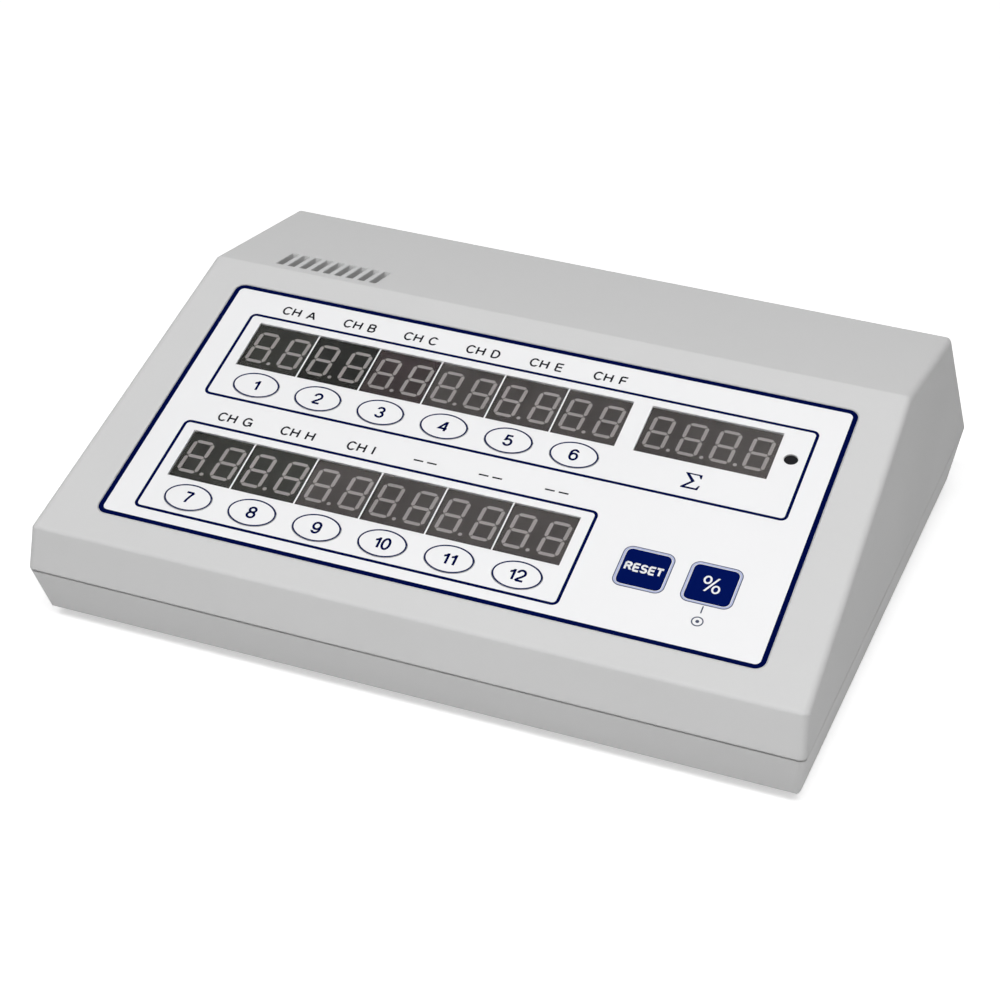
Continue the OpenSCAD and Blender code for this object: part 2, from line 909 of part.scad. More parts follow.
// Ribbon cable with a connector at each end, from the main board down to the power board
ribbon_w = 12.7;
ribbon_t = 0.9;
plug_h = 6;
plug_l = 5;
ribbon_x = -12;
ribbon_main_t = 43.6;
ribbon_power_y = power_y - power_d / 2 + plug_l;
ribbon_steps = 24;
ribbon_slack = 16;
function overlay_yz(t, n) = [
    y_lip + (overlay_margin + t) * cos(panel_angle) - n * sin(panel_angle),
    z_lip + (overlay_margin + t) * sin(panel_angle) + n * cos(panel_angle)
];
function bezier(p, u) =
    pow(1 - u, 3) * p[0] + 3 * u * pow(1 - u, 2) * p[1] + 3 * u * u * (1 - u) * p[2] + pow(u, 3) * p[3];
function bezier_run(p, u) =
    3 * pow(1 - u, 2) * (p[1] - p[0]) + 6 * u * (1 - u) * (p[2] - p[1]) + 3 * u * u * (p[3] - p[2]);
function left_of(v) = [-v[1], v[0]] / norm(v);
ribbon_away = [sin(panel_angle), -cos(panel_angle)];
ribbon_start = overlay_yz(ribbon_main_t, board_bottom - plug_h);
ribbon_end = [ribbon_power_y, power_top + plug_h];
ribbon_path = [
    ribbon_start,
    ribbon_start + ribbon_slack / 2 * ribbon_away,
    ribbon_end + [0, ribbon_slack / 2],
    ribbon_end
];
module ribbon_cable() {
    steps = [for (i = [0:ribbon_steps]) i / ribbon_steps];
    side = [for (u = steps) left_of(bezier_run(ribbon_path, u)) * ribbon_t / 2];
    mid = [for (u = steps) bezier(ribbon_path, u)];
    count = len(steps);
    color("#9fa3a8") {
        translate([ribbon_x, 0, 0])
            rotate([90, 0, 90])
                linear_extrude(ribbon_w, center = true)
                    polygon(concat(
                        [for (i = [0:count - 1]) mid[i] + side[i]],
                        [for (i = [count - 1:-1:0]) mid[i] - side[i]]
                    ));
        under_board(ribbon_x, ribbon_main_t)
            slab(0, plug_h)
                square([ribbon_w + 2 * ribbon_t, plug_l], center = true);
        translate([ribbon_x, ribbon_power_y, power_top])
            slab(0, plug_h)
                square([ribbon_w + 2 * ribbon_t, plug_l], center = true);
    }
}

// ---- Power board ----

module power_board() {
    color("#b98a3c")
        difference() {
            translate([power_x, power_y, power_bottom])
                linear_extrude(board_t)
                    square([power_w, power_d], center = true);
            for (p = standoff_places)
                translate([p[0], p[1], power_bottom - eps])
                    cylinder(r = small_screw_r + screw_gap, h = board_t + 2 * eps, $fn = small_fn);
        }
}

module power_board_screws() {
    color("#b8babd")
        for (p = standoff_places)
            translate([p[0], p[1], power_top])
                rotate([180, 0, 0])
                    small_screw(board_t + small_reach - small_head_h / 2);
}

core_w = 33;
core_t = 12;
core_h = 27;
core_leg = 5.5;
coil_h = core_h - 2 * core_leg;
coil_t = 24;
coil_gap = 0.2;
core_gap = 1;
core_x = power_x - power_w / 2 + power_inset + core_w / 2 + small_head_r + core_gap;
core_y = power_y;
core_lift = 1;
module transformer_core() {
    window_w = (core_w - 4 * core_leg) / 2;
    color("#6f7277")
        translate([core_x, core_y, power_top + core_lift])
            rotate([90, 0, 0])
                linear_extrude(core_t, center = true)
                    difference() {
                        translate([-core_w / 2, 0])
                            square([core_w, core_h]);
                        for (x = [-1, 1])
                            translate([x * (core_leg + window_w / 2) - window_w / 2, core_leg])
                                square([window_w, coil_h]);
                    }
}

module transformer_coil() {
    window_w = (core_w - 4 * core_leg) / 2;
    outer_w = 2 * (core_leg + window_w - coil_gap);
    leg_l = 3;
    color("#c9a227")
        translate([core_x, core_y, power_top + core_lift + core_leg + coil_gap])
            difference() {
                union() {
                    linear_extrude(coil_h - 2 * coil_gap)
                        square([outer_w, coil_t], center = true);
                    for (x = [-1, 1])
                        for (y = [-1, 1])
                            translate([
                                x * (outer_w / 2 - leg_l) - leg_l / 2,
                                y * (coil_t / 2 - leg_l / 2) - leg_l / 2,
                                -core_lift - core_leg - coil_gap
                            ])
                                cube([leg_l, leg_l, core_lift + core_leg + 2 * coil_gap]);
                }
                translate([0, 0, -eps])
                    linear_extrude(coil_h)
                        square([2 * core_leg + 2 * coil_gap, core_t + 2 * coil_gap], center = true);
            }
}

// Places of the small parts, to the right of the transformer
parts_x = core_x + core_w / 2;
part_gap = 2;
cap_r = 6.3;
cap_h = 20;
cap_place = [parts_x + cap_r + part_gap, power_y + power_d / 2 - cap_r - part_gap];
module smoothing_capacitor() {
    color("#1d2c5e")
        translate([cap_place[0], cap_place[1], power_top])
            cylinder(r = cap_r, h = cap_h, $fn = curve_fn);
}

sink_w = 22;
sink_d = 10;
sink_h = 25;
sink_fin = 1.4;
sink_fins = 6;
sink_forward = 3;
sink_place = [parts_x + sink_w / 2 + part_gap, power_y - sink_forward];
module heat_sink() {
    gap = (sink_w - sink_fin) / (sink_fins - 1);
    color("#9a9da1")
        translate([sink_place[0], sink_place[1], power_top]) {
            translate([-sink_w / 2, -sink_d / 2, 0])
                cube([sink_w, 2 * sink_fin, sink_h]);
            for (i = [0:sink_fins - 1])
                translate([i * gap - sink_w / 2, -sink_d / 2, 0])
                    cube([sink_fin, sink_d, sink_h]);
        }
}

regulator_w = 10;
regulator_t = 4.5;
regulator_h = 15;
module voltage_regulator() {
    leg_h = 5;
    color("#29292b")
        translate([sink_place[0], sink_place[1] - sink_d / 2 - regulator_t, power_top]) {
            translate([-regulator_w / 2, 0, leg_h])
                cube([regulator_w, regulator_t, regulator_h]);
            for (i = [-1:1])
                translate([i * leg_pitch - leg_w / 2, regulator_t / 2, 0])
                    cube([leg_w, leg_w, leg_h + eps]);
        }
}

rectifier_w = 8.5;
rectifier_l = 6.5;
rectifier_pairs = 2;
rectifier_back = 5;
rectifier_place = [
    cap_place[0] + cap_r + rectifier_w / 2 + part_gap,
    sink_place[1] + sink_d / 2 + rectifier_back
];
module rectifier() {
    color("#232325")
        translate([rectifier_place[0], rectifier_place[1], power_top])
            chip(rectifier_w, rectifier_l, chip_h, rectifier_pairs);
}

fuse_r = 2.6;
fuse_l = 20;
fuse_cap_l = 5;
fuse_edge = 4;
fuse_forward = 2;
fuse_lift = 1.5;
fuse_neck = 0.4;
fuse_place = [
    power_x + power_w / 2 - fuse_r - fuse_edge,
    power_y - fuse_forward,
    power_top + fuse_r + fuse_lift
];
module fuse() {
    color("#c8cacc")
        translate(fuse_place)
            rotate([90, 0, 0]) {
                cylinder(r = fuse_r - fuse_neck, h = fuse_l, center = true, $fn = small_fn);
                for (z = [-1, 1])
                    translate([0, 0, z * (fuse_l - fuse_cap_l) / 2])
                        cylinder(r = fuse_r, h = fuse_cap_l, center = true, $fn = small_fn);
            }
}

clip_t = 0.6;
clip_inset = 0.5;
module fuse_clips() {
    clip_l = fuse_cap_l - 2 * clip_inset;
    outer_r = fuse_r + clip_t;
    drop = fuse_place[2] - power_top;
    color("#b9a46a")
        for (y = [-1, 1])
            translate(fuse_place)
                translate([0, y * (fuse_l - fuse_cap_l) / 2, 0])
                    rotate([90, 0, 0])
                        linear_extrude(clip_l, center = true)
                            difference() {
                                union() {
                                    circle(outer_r, $fn = small_fn);
                                    translate([-fuse_r / 2, -drop])
                                        square([fuse_r, drop]);
                                }
                                circle(fuse_r, $fn = small_fn);
                                translate([-outer_r, fuse_r / 2])
                                    square(2 * outer_r);
                            }
}

block_w = 15;
block_l = 8;
block_h = 10;
block_edge = 7.7;
block_back = 1;
block_place = [
    power_x + power_w / 2 - block_w / 2 - block_edge,
    power_y + power_d / 2 - block_l / 2 - block_back
];
clamp_r = 1.5;
clamp_d = 2;
block_ways = [-1, 0, 1];
block_pitch = 5;
wire_r = 0.9;
wire_in = 4;
module terminal_block() {
    color("#2f7d4f")
        translate([block_place[0], block_place[1], power_top])
            difference() {
                slab(0, block_h)
                    square([block_w, block_l], center = true);
                for (i = block_ways)
                    translate([i * block_pitch, block_l / 2 + eps, block_h / 2])
                        rotate([90, 0, 0])
                            cylinder(r = wire_r + screw_gap, h = wire_in + eps, $fn = small_fn);
                for (i = block_ways)
                    translate([i * block_pitch, 0, block_h - clamp_d])
                        cylinder(r = clamp_r, h = clamp_d + eps, $fn = small_fn);
            }
}

// Leads behind the bay: each starts at a pin or a switch tag, crosses in its own plane and ends
// in the terminal block or at the other switch tag
tag_l = 5;
tag_x = 4;
pin_end_y = bay_y - socket_d - inlet_wall - tag_l;
tag_end_y = bay_y - switch_body_d - tag_l;
lead_out = 3.5;
lead_step = 2.5;
near_plane = block_place[1] + block_l / 2 + lead_out;
far_plane = near_plane + lead_step;
elbow = 1.04;
function to_block(start, way) = [
    start,
    [start[0], near_plane, start[2]],
    [block_place[0] + way * block_pitch, near_plane, power_top + block_h / 2],
    [block_place[0] + way * block_pitch, block_place[1] + block_l / 2 - wire_in, power_top + block_h / 2]
];
leads = [
    to_block([inlet_x - pin_pitch / 2, pin_end_y, port_mid - pin_rise / 2], -1),
    to_block([inlet_x, pin_end_y, port_mid + pin_rise / 2], 0),
    to_block([rocker_x + tag_x, tag_end_y, port_mid], 1),
    [
        [inlet_x + pin_pitch / 2, pin_end_y, port_mid - pin_rise / 2],
        [inlet_x + pin_pitch / 2, far_plane, port_mid - pin_rise / 2],
        [rocker_x - tag_x, far_plane, port_mid],
        [rocker_x - tag_x, tag_end_y, port_mid]
    ]
];
module tube_run(points, r) {
    for (i = [0:len(points) - 2]) {
        v = points[i + 1] - points[i];
        translate(points[i])
            rotate([0, acos(v[2] / norm(v)), atan2(v[1], v[0])])
                cylinder(r = r, h = norm(v), $fn = small_fn);
    }
    for (i = [1:len(points) - 2])
        translate(points[i])
            sphere(r * elbow, $fn = small_fn);
}
module mains_leads() {
    color("#7a2f2a")
        for (points = leads)
            tube_run(points, wire_r);
}

// ---- Connector bay ----

inlet_body_w = socket_w + 2 * inlet_wall;
inlet_body_l = socket_l + 2 * inlet_wall;
inlet_cut_w = inlet_body_w + 2 * cut_gap;
inlet_cut_l = inlet_body_l + 2 * cut_gap;
blade_w = 2;
blade_h = 4;
flange_r = 2;
socket_r = 2;
module inlet_body() {
    color("#1b1b1d")
        on_bay(inlet_x)
            difference() {
                union() {
                    slab(0, flange_t)
                        rounded_rect(inlet_flange_w, inlet_flange_l, flange_r);
                    slab(-socket_d - inlet_wall + flange_t, flange_t)
                        square([inlet_body_w, inlet_body_l], center = true);
                }
                slab(flange_t - socket_d, flange_t + eps)
                    rounded_rect(socket_w, socket_l, socket_r);
                blades(-far / 2, far / 2);
                for (x = [-1, 1])
                    translate([x * inlet_screw_pitch / 2, 0, -eps])
                        cylinder(r = case_screw_r + screw_gap, h = 2 * flange_t, $fn = small_fn);
            }
}

// The three flat pins between two levels of the bay's frame
module blades(bottom, top) {
    for (x = [-1, 0, 1])
        translate([x * pin_pitch / 2, x == 0 ? pin_rise / 2 : -pin_rise / 2, 0])
            slab(bottom, top)
                square([blade_w, blade_h], center = true);
}

module inlet_pins() {
    blade_clear = 2;
    color("#c9b37a")
        on_bay(inlet_x)
            blades(-socket_d - inlet_wall - tag_l, flange_t - blade_clear);
}

nut_h = 2.4;
nut_r = 3.2;
module inlet_screws() {
    color("#b8babd")
        on_bay(inlet_x)
            for (x = [-1, 1])
                translate([x * inlet_screw_pitch / 2, 0, 0]) {
                    translate([0, 0, flange_t])
                        difference() {
                            cylinder(r = case_head_r, h = case_head_h, $fn = small_fn);
                            translate([0, 0, case_head_h / 2])
                                cross_recess(case_head_r, case_head_h);
                        }
                    translate([0, 0, -wall - nut_h])
                        cylinder(r = case_screw_r, h = wall + nut_h + flange_t + eps, $fn = small_fn);
                    translate([0, 0, -wall - nut_h])
                        cylinder(r = nut_r, h = nut_h, $fn = hex_fn);
                }
}

switch_side = 1.6;
switch_edge = 1.3;
switch_body_w = 2 * (rocker_a + switch_side);
switch_body_l = 2 * (rocker_b + switch_edge);
bezel_r = 1.5;
rocker_room = 0.8;
pivot_z = -1.2;
pivot_l = 0.8;
rocker_gap = 0.25;
module switch_frame() {
    well_a = rocker_a + rocker_room;
    well_b = rocker_b + rocker_gap;
    color("#19191b")
        on_bay(rocker_x) {
            difference() {
                union() {
                    slab(0, flange_t)
                        rounded_rect(bezel_w, bezel_l, bezel_r);
                    slab(-switch_body_d, flange_t)
                        square([switch_body_w, switch_body_l], center = true);
                }
                slab(-switch_body_d / 2, flange_t + eps)
                    square([2 * well_a, 2 * well_b], center = true);
                translate([0, 0, pivot_z])
                    rotate([90, 0, 0])
                        cylinder(
                            r = pivot_r + pivot_gap,
                            h = 2 * (rocker_b + rocker_gap + pivot_l),
                            center = true,
                            $fn = small_fn
                        );
            }
            for (x = [-1, 1])
                translate([x * tag_x - blade_w / 4, -blade_h / 2, -switch_body_d - tag_l])
                    cube([blade_w / 2, blade_h, tag_l + eps]);
        }
}

// The rocker turns about an upright axis; its left end stands out at rest
module switch_rocker() {
    top_z = 3.4;
    dip = 1.6;
    side_z = -1.6;
    keel_a = 3;
    keel_z = -4.2;
    color("#202022")
        on_bay(rocker_x)
            translate([0, 0, pivot_z])
                rotate([0, rocker_tilt, 0])
                    rotate([90, 0, 0]) {
                        linear_extrude(2 * rocker_b, center = true)
                            polygon([
                                [-rocker_a, top_z + dip],
                                [0, top_z],
                                [rocker_a, top_z + dip],
                                [rocker_a, side_z + dip],
                                [keel_a, keel_z],
                                [-keel_a, keel_z],
                                [-rocker_a, side_z + dip]
                            ]);
                        cylinder(
                            r = pivot_r,
                            h = 2 * (rocker_b + rocker_gap + pivot_l) - 2 * pivot_gap,
                            center = true,
                            $fn = small_fn
                        );
                    }
}

data_body_w = 19;
data_body_l = 10.4;
data_body_d = 8;
data_flange_r = 1.5;
nose_w = 16.6;
nose_l = 8;
nose_slant = 1.4;
contact_pitch = 2.77;
contact_rows = 2.84;
contact_r = 0.55;
contact_d = 5;
upper_contacts = 5;
lower_contacts = 4;
module data_port() {
    color("#a9acb0")
        on_bay(data_x)
            difference() {
                union() {
                    slab(0, flange_t / 2)
                        rounded_rect(data_flange_w, data_flange_l, data_flange_r);
                    slab(0, flange_t / 2 + nose_h)
                        polygon([
                            [-nose_w / 2, nose_l / 2],
                            [nose_w / 2, nose_l / 2],
                            [nose_w / 2 - nose_slant, -nose_l / 2],
                            [-nose_w / 2 + nose_slant, -nose_l / 2]
                        ]);
                    slab(-data_body_d, flange_t / 2)
                        square([data_body_w, data_body_l], center = true);
                }
                contact_row(upper_contacts, contact_rows / 2);
                contact_row(lower_contacts, -contact_rows / 2);
                for (x = [-1, 1])
                    translate([x * post_pitch / 2, 0, -eps])
                        cylinder(r = post_stud_r + screw_gap, h = flange_t, $fn = small_fn);
            }
}

module contact_row(count, y) {
    for (i = [0:count - 1])
        translate([(i - (count - 1) / 2) * contact_pitch, y, flange_t / 2 + nose_h - contact_d])
            cylinder(r = contact_r, h = contact_d + eps, $fn = small_fn);
}

post_stud_r = 1.4;
post_r = 2.75;
post_h = 5;
post_bore_r = 1.1;
module port_posts() {
    color("#b8babd")
        on_bay(data_x)
            for (x = [-1, 1])
                translate([x * post_pitch / 2, 0, 0])
                    difference() {
                        union() {
                            translate([0, 0, flange_t / 2])
                                cylinder(r = post_r, h = post_h, $fn = hex_fn);
                            translate([0, 0, -wall - nut_h])
                                cylinder(r = post_stud_r, h = wall + nut_h + flange_t, $fn = small_fn);
                            translate([0, 0, -wall - nut_h])
                                cylinder(r = post_r, h = nut_h, $fn = hex_fn);
                        }
                        translate([0, 0, flange_t / 2 + post_h / 3])
                            cylinder(r = post_bore_r, h = post_h, $fn = small_fn);
                    }
}

// ---- Draw ----

upper_shell();
lower_shell();
panel_overlay();
display_windows();
for (i = [1:12]) {
    display_pair(i);
    oval_key(i);
}
display_total();
key_reset();
key_percent();
push_switches();
buzzer();
main_board();
board_screws();
controller_chip();
driver_chips();
ribbon_cable();
power_board();
power_board_screws();
transformer_core();
transformer_coil();
rectifier();
smoothing_capacitor();
voltage_regulator();
heat_sink();
fuse();
fuse_clips();
terminal_block();
mains_leads();
inlet_body();
inlet_pins();
inlet_screws();
switch_frame();
switch_rocker();
data_port();
port_posts();
case_screws();
rubber_feet();
rating_label();
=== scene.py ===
"""Looks of a bench cell counter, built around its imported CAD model."""

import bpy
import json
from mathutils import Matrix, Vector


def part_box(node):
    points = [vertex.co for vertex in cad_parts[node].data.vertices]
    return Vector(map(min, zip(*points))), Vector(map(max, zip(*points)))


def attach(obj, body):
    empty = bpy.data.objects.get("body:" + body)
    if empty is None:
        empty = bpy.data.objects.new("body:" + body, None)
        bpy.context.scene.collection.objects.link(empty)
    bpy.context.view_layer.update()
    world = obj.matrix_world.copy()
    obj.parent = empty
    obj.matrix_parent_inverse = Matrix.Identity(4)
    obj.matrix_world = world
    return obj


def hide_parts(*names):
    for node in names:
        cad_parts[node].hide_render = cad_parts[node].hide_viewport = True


bl_info = {
    "name": "Cell Counter Looks",
    "version": (1, 0, 0),
    "blender": (4, 5, 0),
    "location": "View3D > Sidebar > Cell Counter",
    "description": "Print, digits, windows, feet, finishes and studio of a bench cell counter",
    "category": "Object",
}

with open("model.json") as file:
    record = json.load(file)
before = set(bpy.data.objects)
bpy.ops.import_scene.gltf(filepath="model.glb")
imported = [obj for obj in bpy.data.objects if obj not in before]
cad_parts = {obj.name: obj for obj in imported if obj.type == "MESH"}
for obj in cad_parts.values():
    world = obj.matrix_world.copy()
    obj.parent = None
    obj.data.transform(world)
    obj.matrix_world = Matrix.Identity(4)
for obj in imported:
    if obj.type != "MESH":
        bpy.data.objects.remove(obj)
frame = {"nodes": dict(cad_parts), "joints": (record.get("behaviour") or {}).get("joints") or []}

import json
import math

import bpy
import numpy as np
from bpy.props import FloatProperty, FloatVectorProperty, PointerProperty
from bpy.types import NodeSocket, Operator, Panel, PropertyGroup
from mathutils import Euler, Matrix, Vector

MM = 0.001
CASE = "case"
COLUMNS = 6
LABELS = "ABCDEFGHI"
OVAL_KEYS = [f"key_{i}" for i in range(1, 13)]
SQUARE_KEYS = ["key_reset", "key_percent"]
PAIRS = [f"display_{i}" for i in range(1, 13)]
DISPLAYS = [*PAIRS, "display_total"]


# ---- Places, read from the CAD frame ----


def node_points(node):
    """Vertices of a CAD node as an array, one row for each."""
    data = frame["nodes"][node].data
    points = np.zeros(len(data.vertices) * 3, np.float32)
    data.vertices.foreach_get("co", points)
    return points.reshape(-1, 3).astype(float)


PRESS = next(j for j in frame["joints"] if j["child"] == "key_1")["axis"]
SLOPE = math.atan2(PRESS[1], -PRESS[2])
RISE, RUN = math.sin(SLOPE), math.cos(SLOPE)
FILM_LOW, FILM_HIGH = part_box("panel_overlay")
FILM_SPAN = FILM_HIGH - FILM_LOW
FILM_T = (FILM_SPAN.z * RUN - FILM_SPAN.y * RISE) / (RUN * RUN - RISE * RISE)
FILM_L = (FILM_SPAN.y * RUN - FILM_SPAN.z * RISE) / (RUN * RUN - RISE * RISE)
FILM_ORIGIN = np.array([0, FILM_LOW.y, FILM_LOW.z + FILM_T * RUN])
FILM_AXES = np.array([[1, 0, 0], [0, RUN, RISE], [0, -RISE, RUN]])


def from_film(points):
    """Points of the film's own frame (across, up the slope, out of the film) in the CAD frame."""
    return np.asarray(points, float) @ FILM_AXES + FILM_ORIGIN


def film_bounds(node):
    """Lowest and highest corner of a CAD node in the film's own frame."""
    local = (node_points(node) - FILM_ORIGIN) @ FILM_AXES.T
    return local.min(0), local.max(0)


def film_middle(node, up=0):
    """Middle of a CAD node on the film, across and up the slope, moved up by a distance."""
    low, high = film_bounds(node)
    return (low[:2] + high[:2]) / 2 + (0, up)


# ---- Sizes and colours that a user would change ----


def ink(code):
    """Linear colour of a #rrggbb code: each channel is undone with the display's power curve."""
    part = np.array([int(code[i:i + 2], 16) for i in (1, 3, 5)]) / 255
    return tuple(np.where(part <= 0.04045, part / 12.92, ((part + 0.055) / 1.055) ** 2.4))


def mm(name, text, value):
    """A length property, given in millimetres and kept in metres."""
    return FloatProperty(
        name=name, description=text, default=value * MM, min=0,
        subtype="DISTANCE", unit="LENGTH", precision=5,
    )


def colour(name, text, code):
    """A colour property, given as a #rrggbb code."""
    return FloatVectorProperty(
        name=name, description=text, default=ink(code), size=3, min=0, max=1, subtype="COLOR"
    )


def amount(name, text, value):
    """A plain number property."""
    return FloatProperty(name=name, description=text, default=value, min=0)


def degrees(name, text, value):
    """An angle property, given in degrees and kept in radians."""
    return FloatProperty(
        name=name, description=text, default=math.radians(value), subtype="ANGLE", unit="ROTATION"
    )


class CounterPrint(PropertyGroup):
    """Sizes of what is printed on the film, the keys and the rocker, and of the small parts"""

    ink_t: mm("Ink", "Thickness of the printed ink", 0.03)
    frame_w: mm("Outer line", "Width of the outer frame's line", 1.1)
    frame_side: mm("Outer margin", "Film outside the outer line's middle", 0.6)
    frame_r: mm("Outer corners", "Its corner radius", 1.8)
    box_w: mm("Box line", "Width of the lines round the rows", 0.7)
    box_r: mm("Boxes' corners", "Their corner radius", 1.2)
    box_side: mm("Boxes' sides", "Bare film beside its displays", 2.95)
    box_top: mm("Boxes' top", "Bare film over its displays", 2.25)
    box_bottom: mm("Boxes' bottom", "Bare film under its keys", 1.4)
    box_far: mm("Upper box", "From the total display to its right line", 7.0)
    label_h: mm("Label height", "Height of the labels' letters", 2.7)
    label_w: mm("Label stroke", "Width of their strokes", 0.44)
    label_up: mm("Label place", "From a display's middle up to its label", 12.5)
    dash_l: mm("Dash", "Length of a dash in a label's place", 2.2)
    dash_gap: mm("Dash gap", "Gap between the two dashes", 0.9)
    dash_w: mm("Dash width", "Width of a dash", 0.4)
    sum_h: mm("Sum sign", "Height of the sum sign", 4.5)
    sum_down: mm("Sum sign place", "From the total display's middle down to it", 12.1)
    ring_w: mm("Key ring", "Width of the line round an oval key", 0.36)
    number_h: mm("Number height", "Height of the oval keys' numbers", 3.4)
    number_w: mm("Number stroke", "Width of their strokes", 0.54)
    word_h: mm("Word height", "Height of the clearing key's word", 2.4)
    word_l: mm("Word length", "Length of that word", 8.3)
    word_w: mm("Word stroke", "Width of its strokes", 0.5)
    percent_h: mm("Percent height", "Height of the percent sign", 4.4)
    percent_w: mm("Percent stroke", "Width of its strokes", 0.42)
    square_line_w: mm("Square line", "Width of the line round a square key", 0.2)
    square_band_w: mm("Square band", "Width of the band inside that line", 0.4)
    square_band_gap: mm("Band's gap", "Bare film between key and band", 0.24)
    square_key_r: mm("Square corners", "Corner radius of a square key", 1.2)
    tick_l: mm("Tick", "Length of the line under the percent key", 1.9)
    tick_down: mm("Tick's place", "From that key's middle down to the tick", 5.9)
    mark_r: mm("Mark", "Radius of the small mark under the tick", 1.15)
    mark_w: mm("Mark's line", "Width of the tick's and the mark's line", 0.28)
    mark_gap: mm("Mark's gap", "From the tick down to the mark's line", 1.1)
    mark_dot: mm("Mark's dot", "Width of the dot in the mark", 0.8)
    switch_mark_h: mm("Switch marks", "Height of the power switch's marks", 2.6)
    switch_mark_w: mm("Switch line", "Width of their lines", 0.35)
    foot_edge: mm("Foot's edge", "Radius of the lower edge of a foot", 0.6)
    foot_dish: mm("Foot's dish", "Radius of the dish under a foot", 3.2)
    foot_rise: mm("Dish's depth", "Depth of the dish under a foot", 0.35)
    divider_w: mm("Divider", "Width of the lines between displays", 0.36)
    gauze_r: mm("Gauze", "Radius of the sound hole's gauze", 1.5)
    gauze_down: mm("Gauze's depth", "How far it lies below the film's face", 0.25)
    gauze_t: mm("Gauze thickness", "Its thickness", 0.08)


class CounterDigits(PropertyGroup):
    """Sizes of the digits in the displays, and of the clear film over them"""

    digit_h: mm("Digit height", "Height of a digit", 9.75)
    digit_w: mm("Digit width", "Width of a digit", 4.95)
    stroke: mm("Stroke", "Width of a segment", 0.82)
    joint: mm("Joint", "Gap between a segment and its corner", 0.14)
    lean: amount("Lean", "Lean to the right for each unit of height", 0.045)
    pair_pitch: mm("Pair's pitch", "Digit to digit in a two-digit display", 7.75)
    total_pitch: mm("Total's pitch", "Digit to digit in the four-digit display", 7.46)
    point_r: mm("Point", "Radius of a decimal point", 0.45)
    point_x: mm("Point's place", "From a digit's middle to its point", 3.6)
    segment_t: mm("Segment depth", "Thickness of a segment's lens", 0.04)
    window_t: mm("Window", "Thickness of the clear film", 0.2)


class CounterColours(PropertyGroup):
    """Colours of the finishes"""

    case_top: colour("Upper shell", "Plastic of the upper shell", "#cccccc")
    case_low: colour("Lower shell", "Plastic of the lower shell", "#d1d1d1")
    film: colour("Film", "Printed ground of the panel", "#eaeaeb")
    navy: colour("Navy", "Lines and signs on the panel", "#010a40")
    key_navy: colour("Key navy", "Ground of the square keys", "#031355")
    legend: colour("Legend", "Letters over the displays", "#2b2b31")
    ring: colour("Ring", "Lines round the oval keys", "#1d2650")
    grey: colour("Grey", "Thin lines round the square keys and the small mark", "#4d5468")
    lavender: colour("Lavender", "Bands round the square keys", "#b4bad8")
    face: colour("Display face", "Face of most displays and of the total", "#514d4c")
    face_dim: colour("Dim face", "Face of displays 1, 7 and 8", "#3b3b38")
    face_dark: colour("Dark face", "Face of display 2", "#2e2e2c")
    face_warm: colour("Warm face", "Face of display 3", "#443c3d")
    segment: colour("Segment", "Unlit segments", "#9d9896")
    rubber: colour("Rubber", "Feet", "#242426")
    black: colour("Black plastic", "Inlet, switch and gauze", "#1b1b1e")


class CounterStudio(PropertyGroup):
    """Camera and lamps"""

    turn: degrees("Turn", "How far the camera stands to the right of the front", 18.70)
    height: degrees("Height", "How far the camera looks down", 28.34)
    roll: degrees("Roll", "How far the camera is rolled", 3.65)
    distance: mm("Distance", "Distance from the camera to the point it looks at", 566.4)
    aim: FloatVectorProperty(
        name="Aim", description="Point at the middle of the picture",
        default=(-0.00461, -0.00944, 0.01616), subtype="XYZ",
    )
    lens: FloatProperty(
        name="Lens", description="Focal length in millimetres on a 36 mm wide frame", default=88.62
    )
    sky: amount("Sky", "Strength of the even light from all round", 0.0)
    right: amount("Right lamp", "Power of the lamp at the front right, in watts", 3.1)
    top: amount("Top lamp", "Power of the lamp overhead, in watts", 4.1)
    front: amount("Front lamp", "Power of the lamp high at the front left, in watts", 9.0)


# ---- Shapes: each is (points, faces), and flat ones lie in the film's own frame ----


def compass(turn):
    """Unit vectors at angles: the cosine and the sine of each."""
    return np.stack([np.cos(turn), np.sin(turn)], -1)


def ring_faces(rows, cols):
    """Quads over a grid that closes on itself both ways."""
    index = np.arange(rows * cols).reshape(rows, cols)
    after = np.roll(index, -1, 0)
    corners = [index, after, np.roll(after, -1, 1), np.roll(index, -1, 1)]
    return np.stack(corners, -1).reshape(-1, 4).tolist()


def loop_band(path, outward, width, low, high):
    """Closed line of ink: a rectangle, half the width to either side along the outward normal
    and between two heights, carried round a closed path that runs counterclockwise."""
    side = np.array([1, 1, -1, -1]) * width / 2
    level = np.array([low, high, high, low])
    flat = path[:, None, :] + outward[:, None, :] * side[None, :, None]
    height = np.broadcast_to(level[None, :, None], flat.shape[:2] + (1,))
    return np.concatenate([flat, height], -1).reshape(-1, 3), ring_faces(len(path), 4)


def round_rect(middle, width, height, radius, steps=10):
    """Path and outward normals of a rectangle with round corners: four quarter circles, each
    about its own centre, joined by the straight sides."""
    quarter = np.linspace(0, math.pi / 2, steps)
    outward = compass(np.arange(4)[:, None] * math.pi / 2 + quarter[None, :])
    inner = np.array([width, height]) / 2 - radius
    centre = np.array([[1, 1], [-1, 1], [-1, -1], [1, -1]]) * inner
    path = centre[:, None, :] + radius * outward + np.asarray(middle)
    return path.reshape(-1, 2), outward.reshape(-1, 2)


def oval(middle, width, height, steps=72):
    """Path and outward normals of an ellipse: half the width times the cosine and half the
    height times the sine; the normal swaps the two halves."""
    half = np.array([width, height]) / 2
    circle = compass(np.arange(steps) * 2 * math.pi / steps)
    outward = circle * half[::-1]
    outward /= np.linalg.norm(outward, axis=1, keepdims=True)
    return circle * half + np.asarray(middle), outward


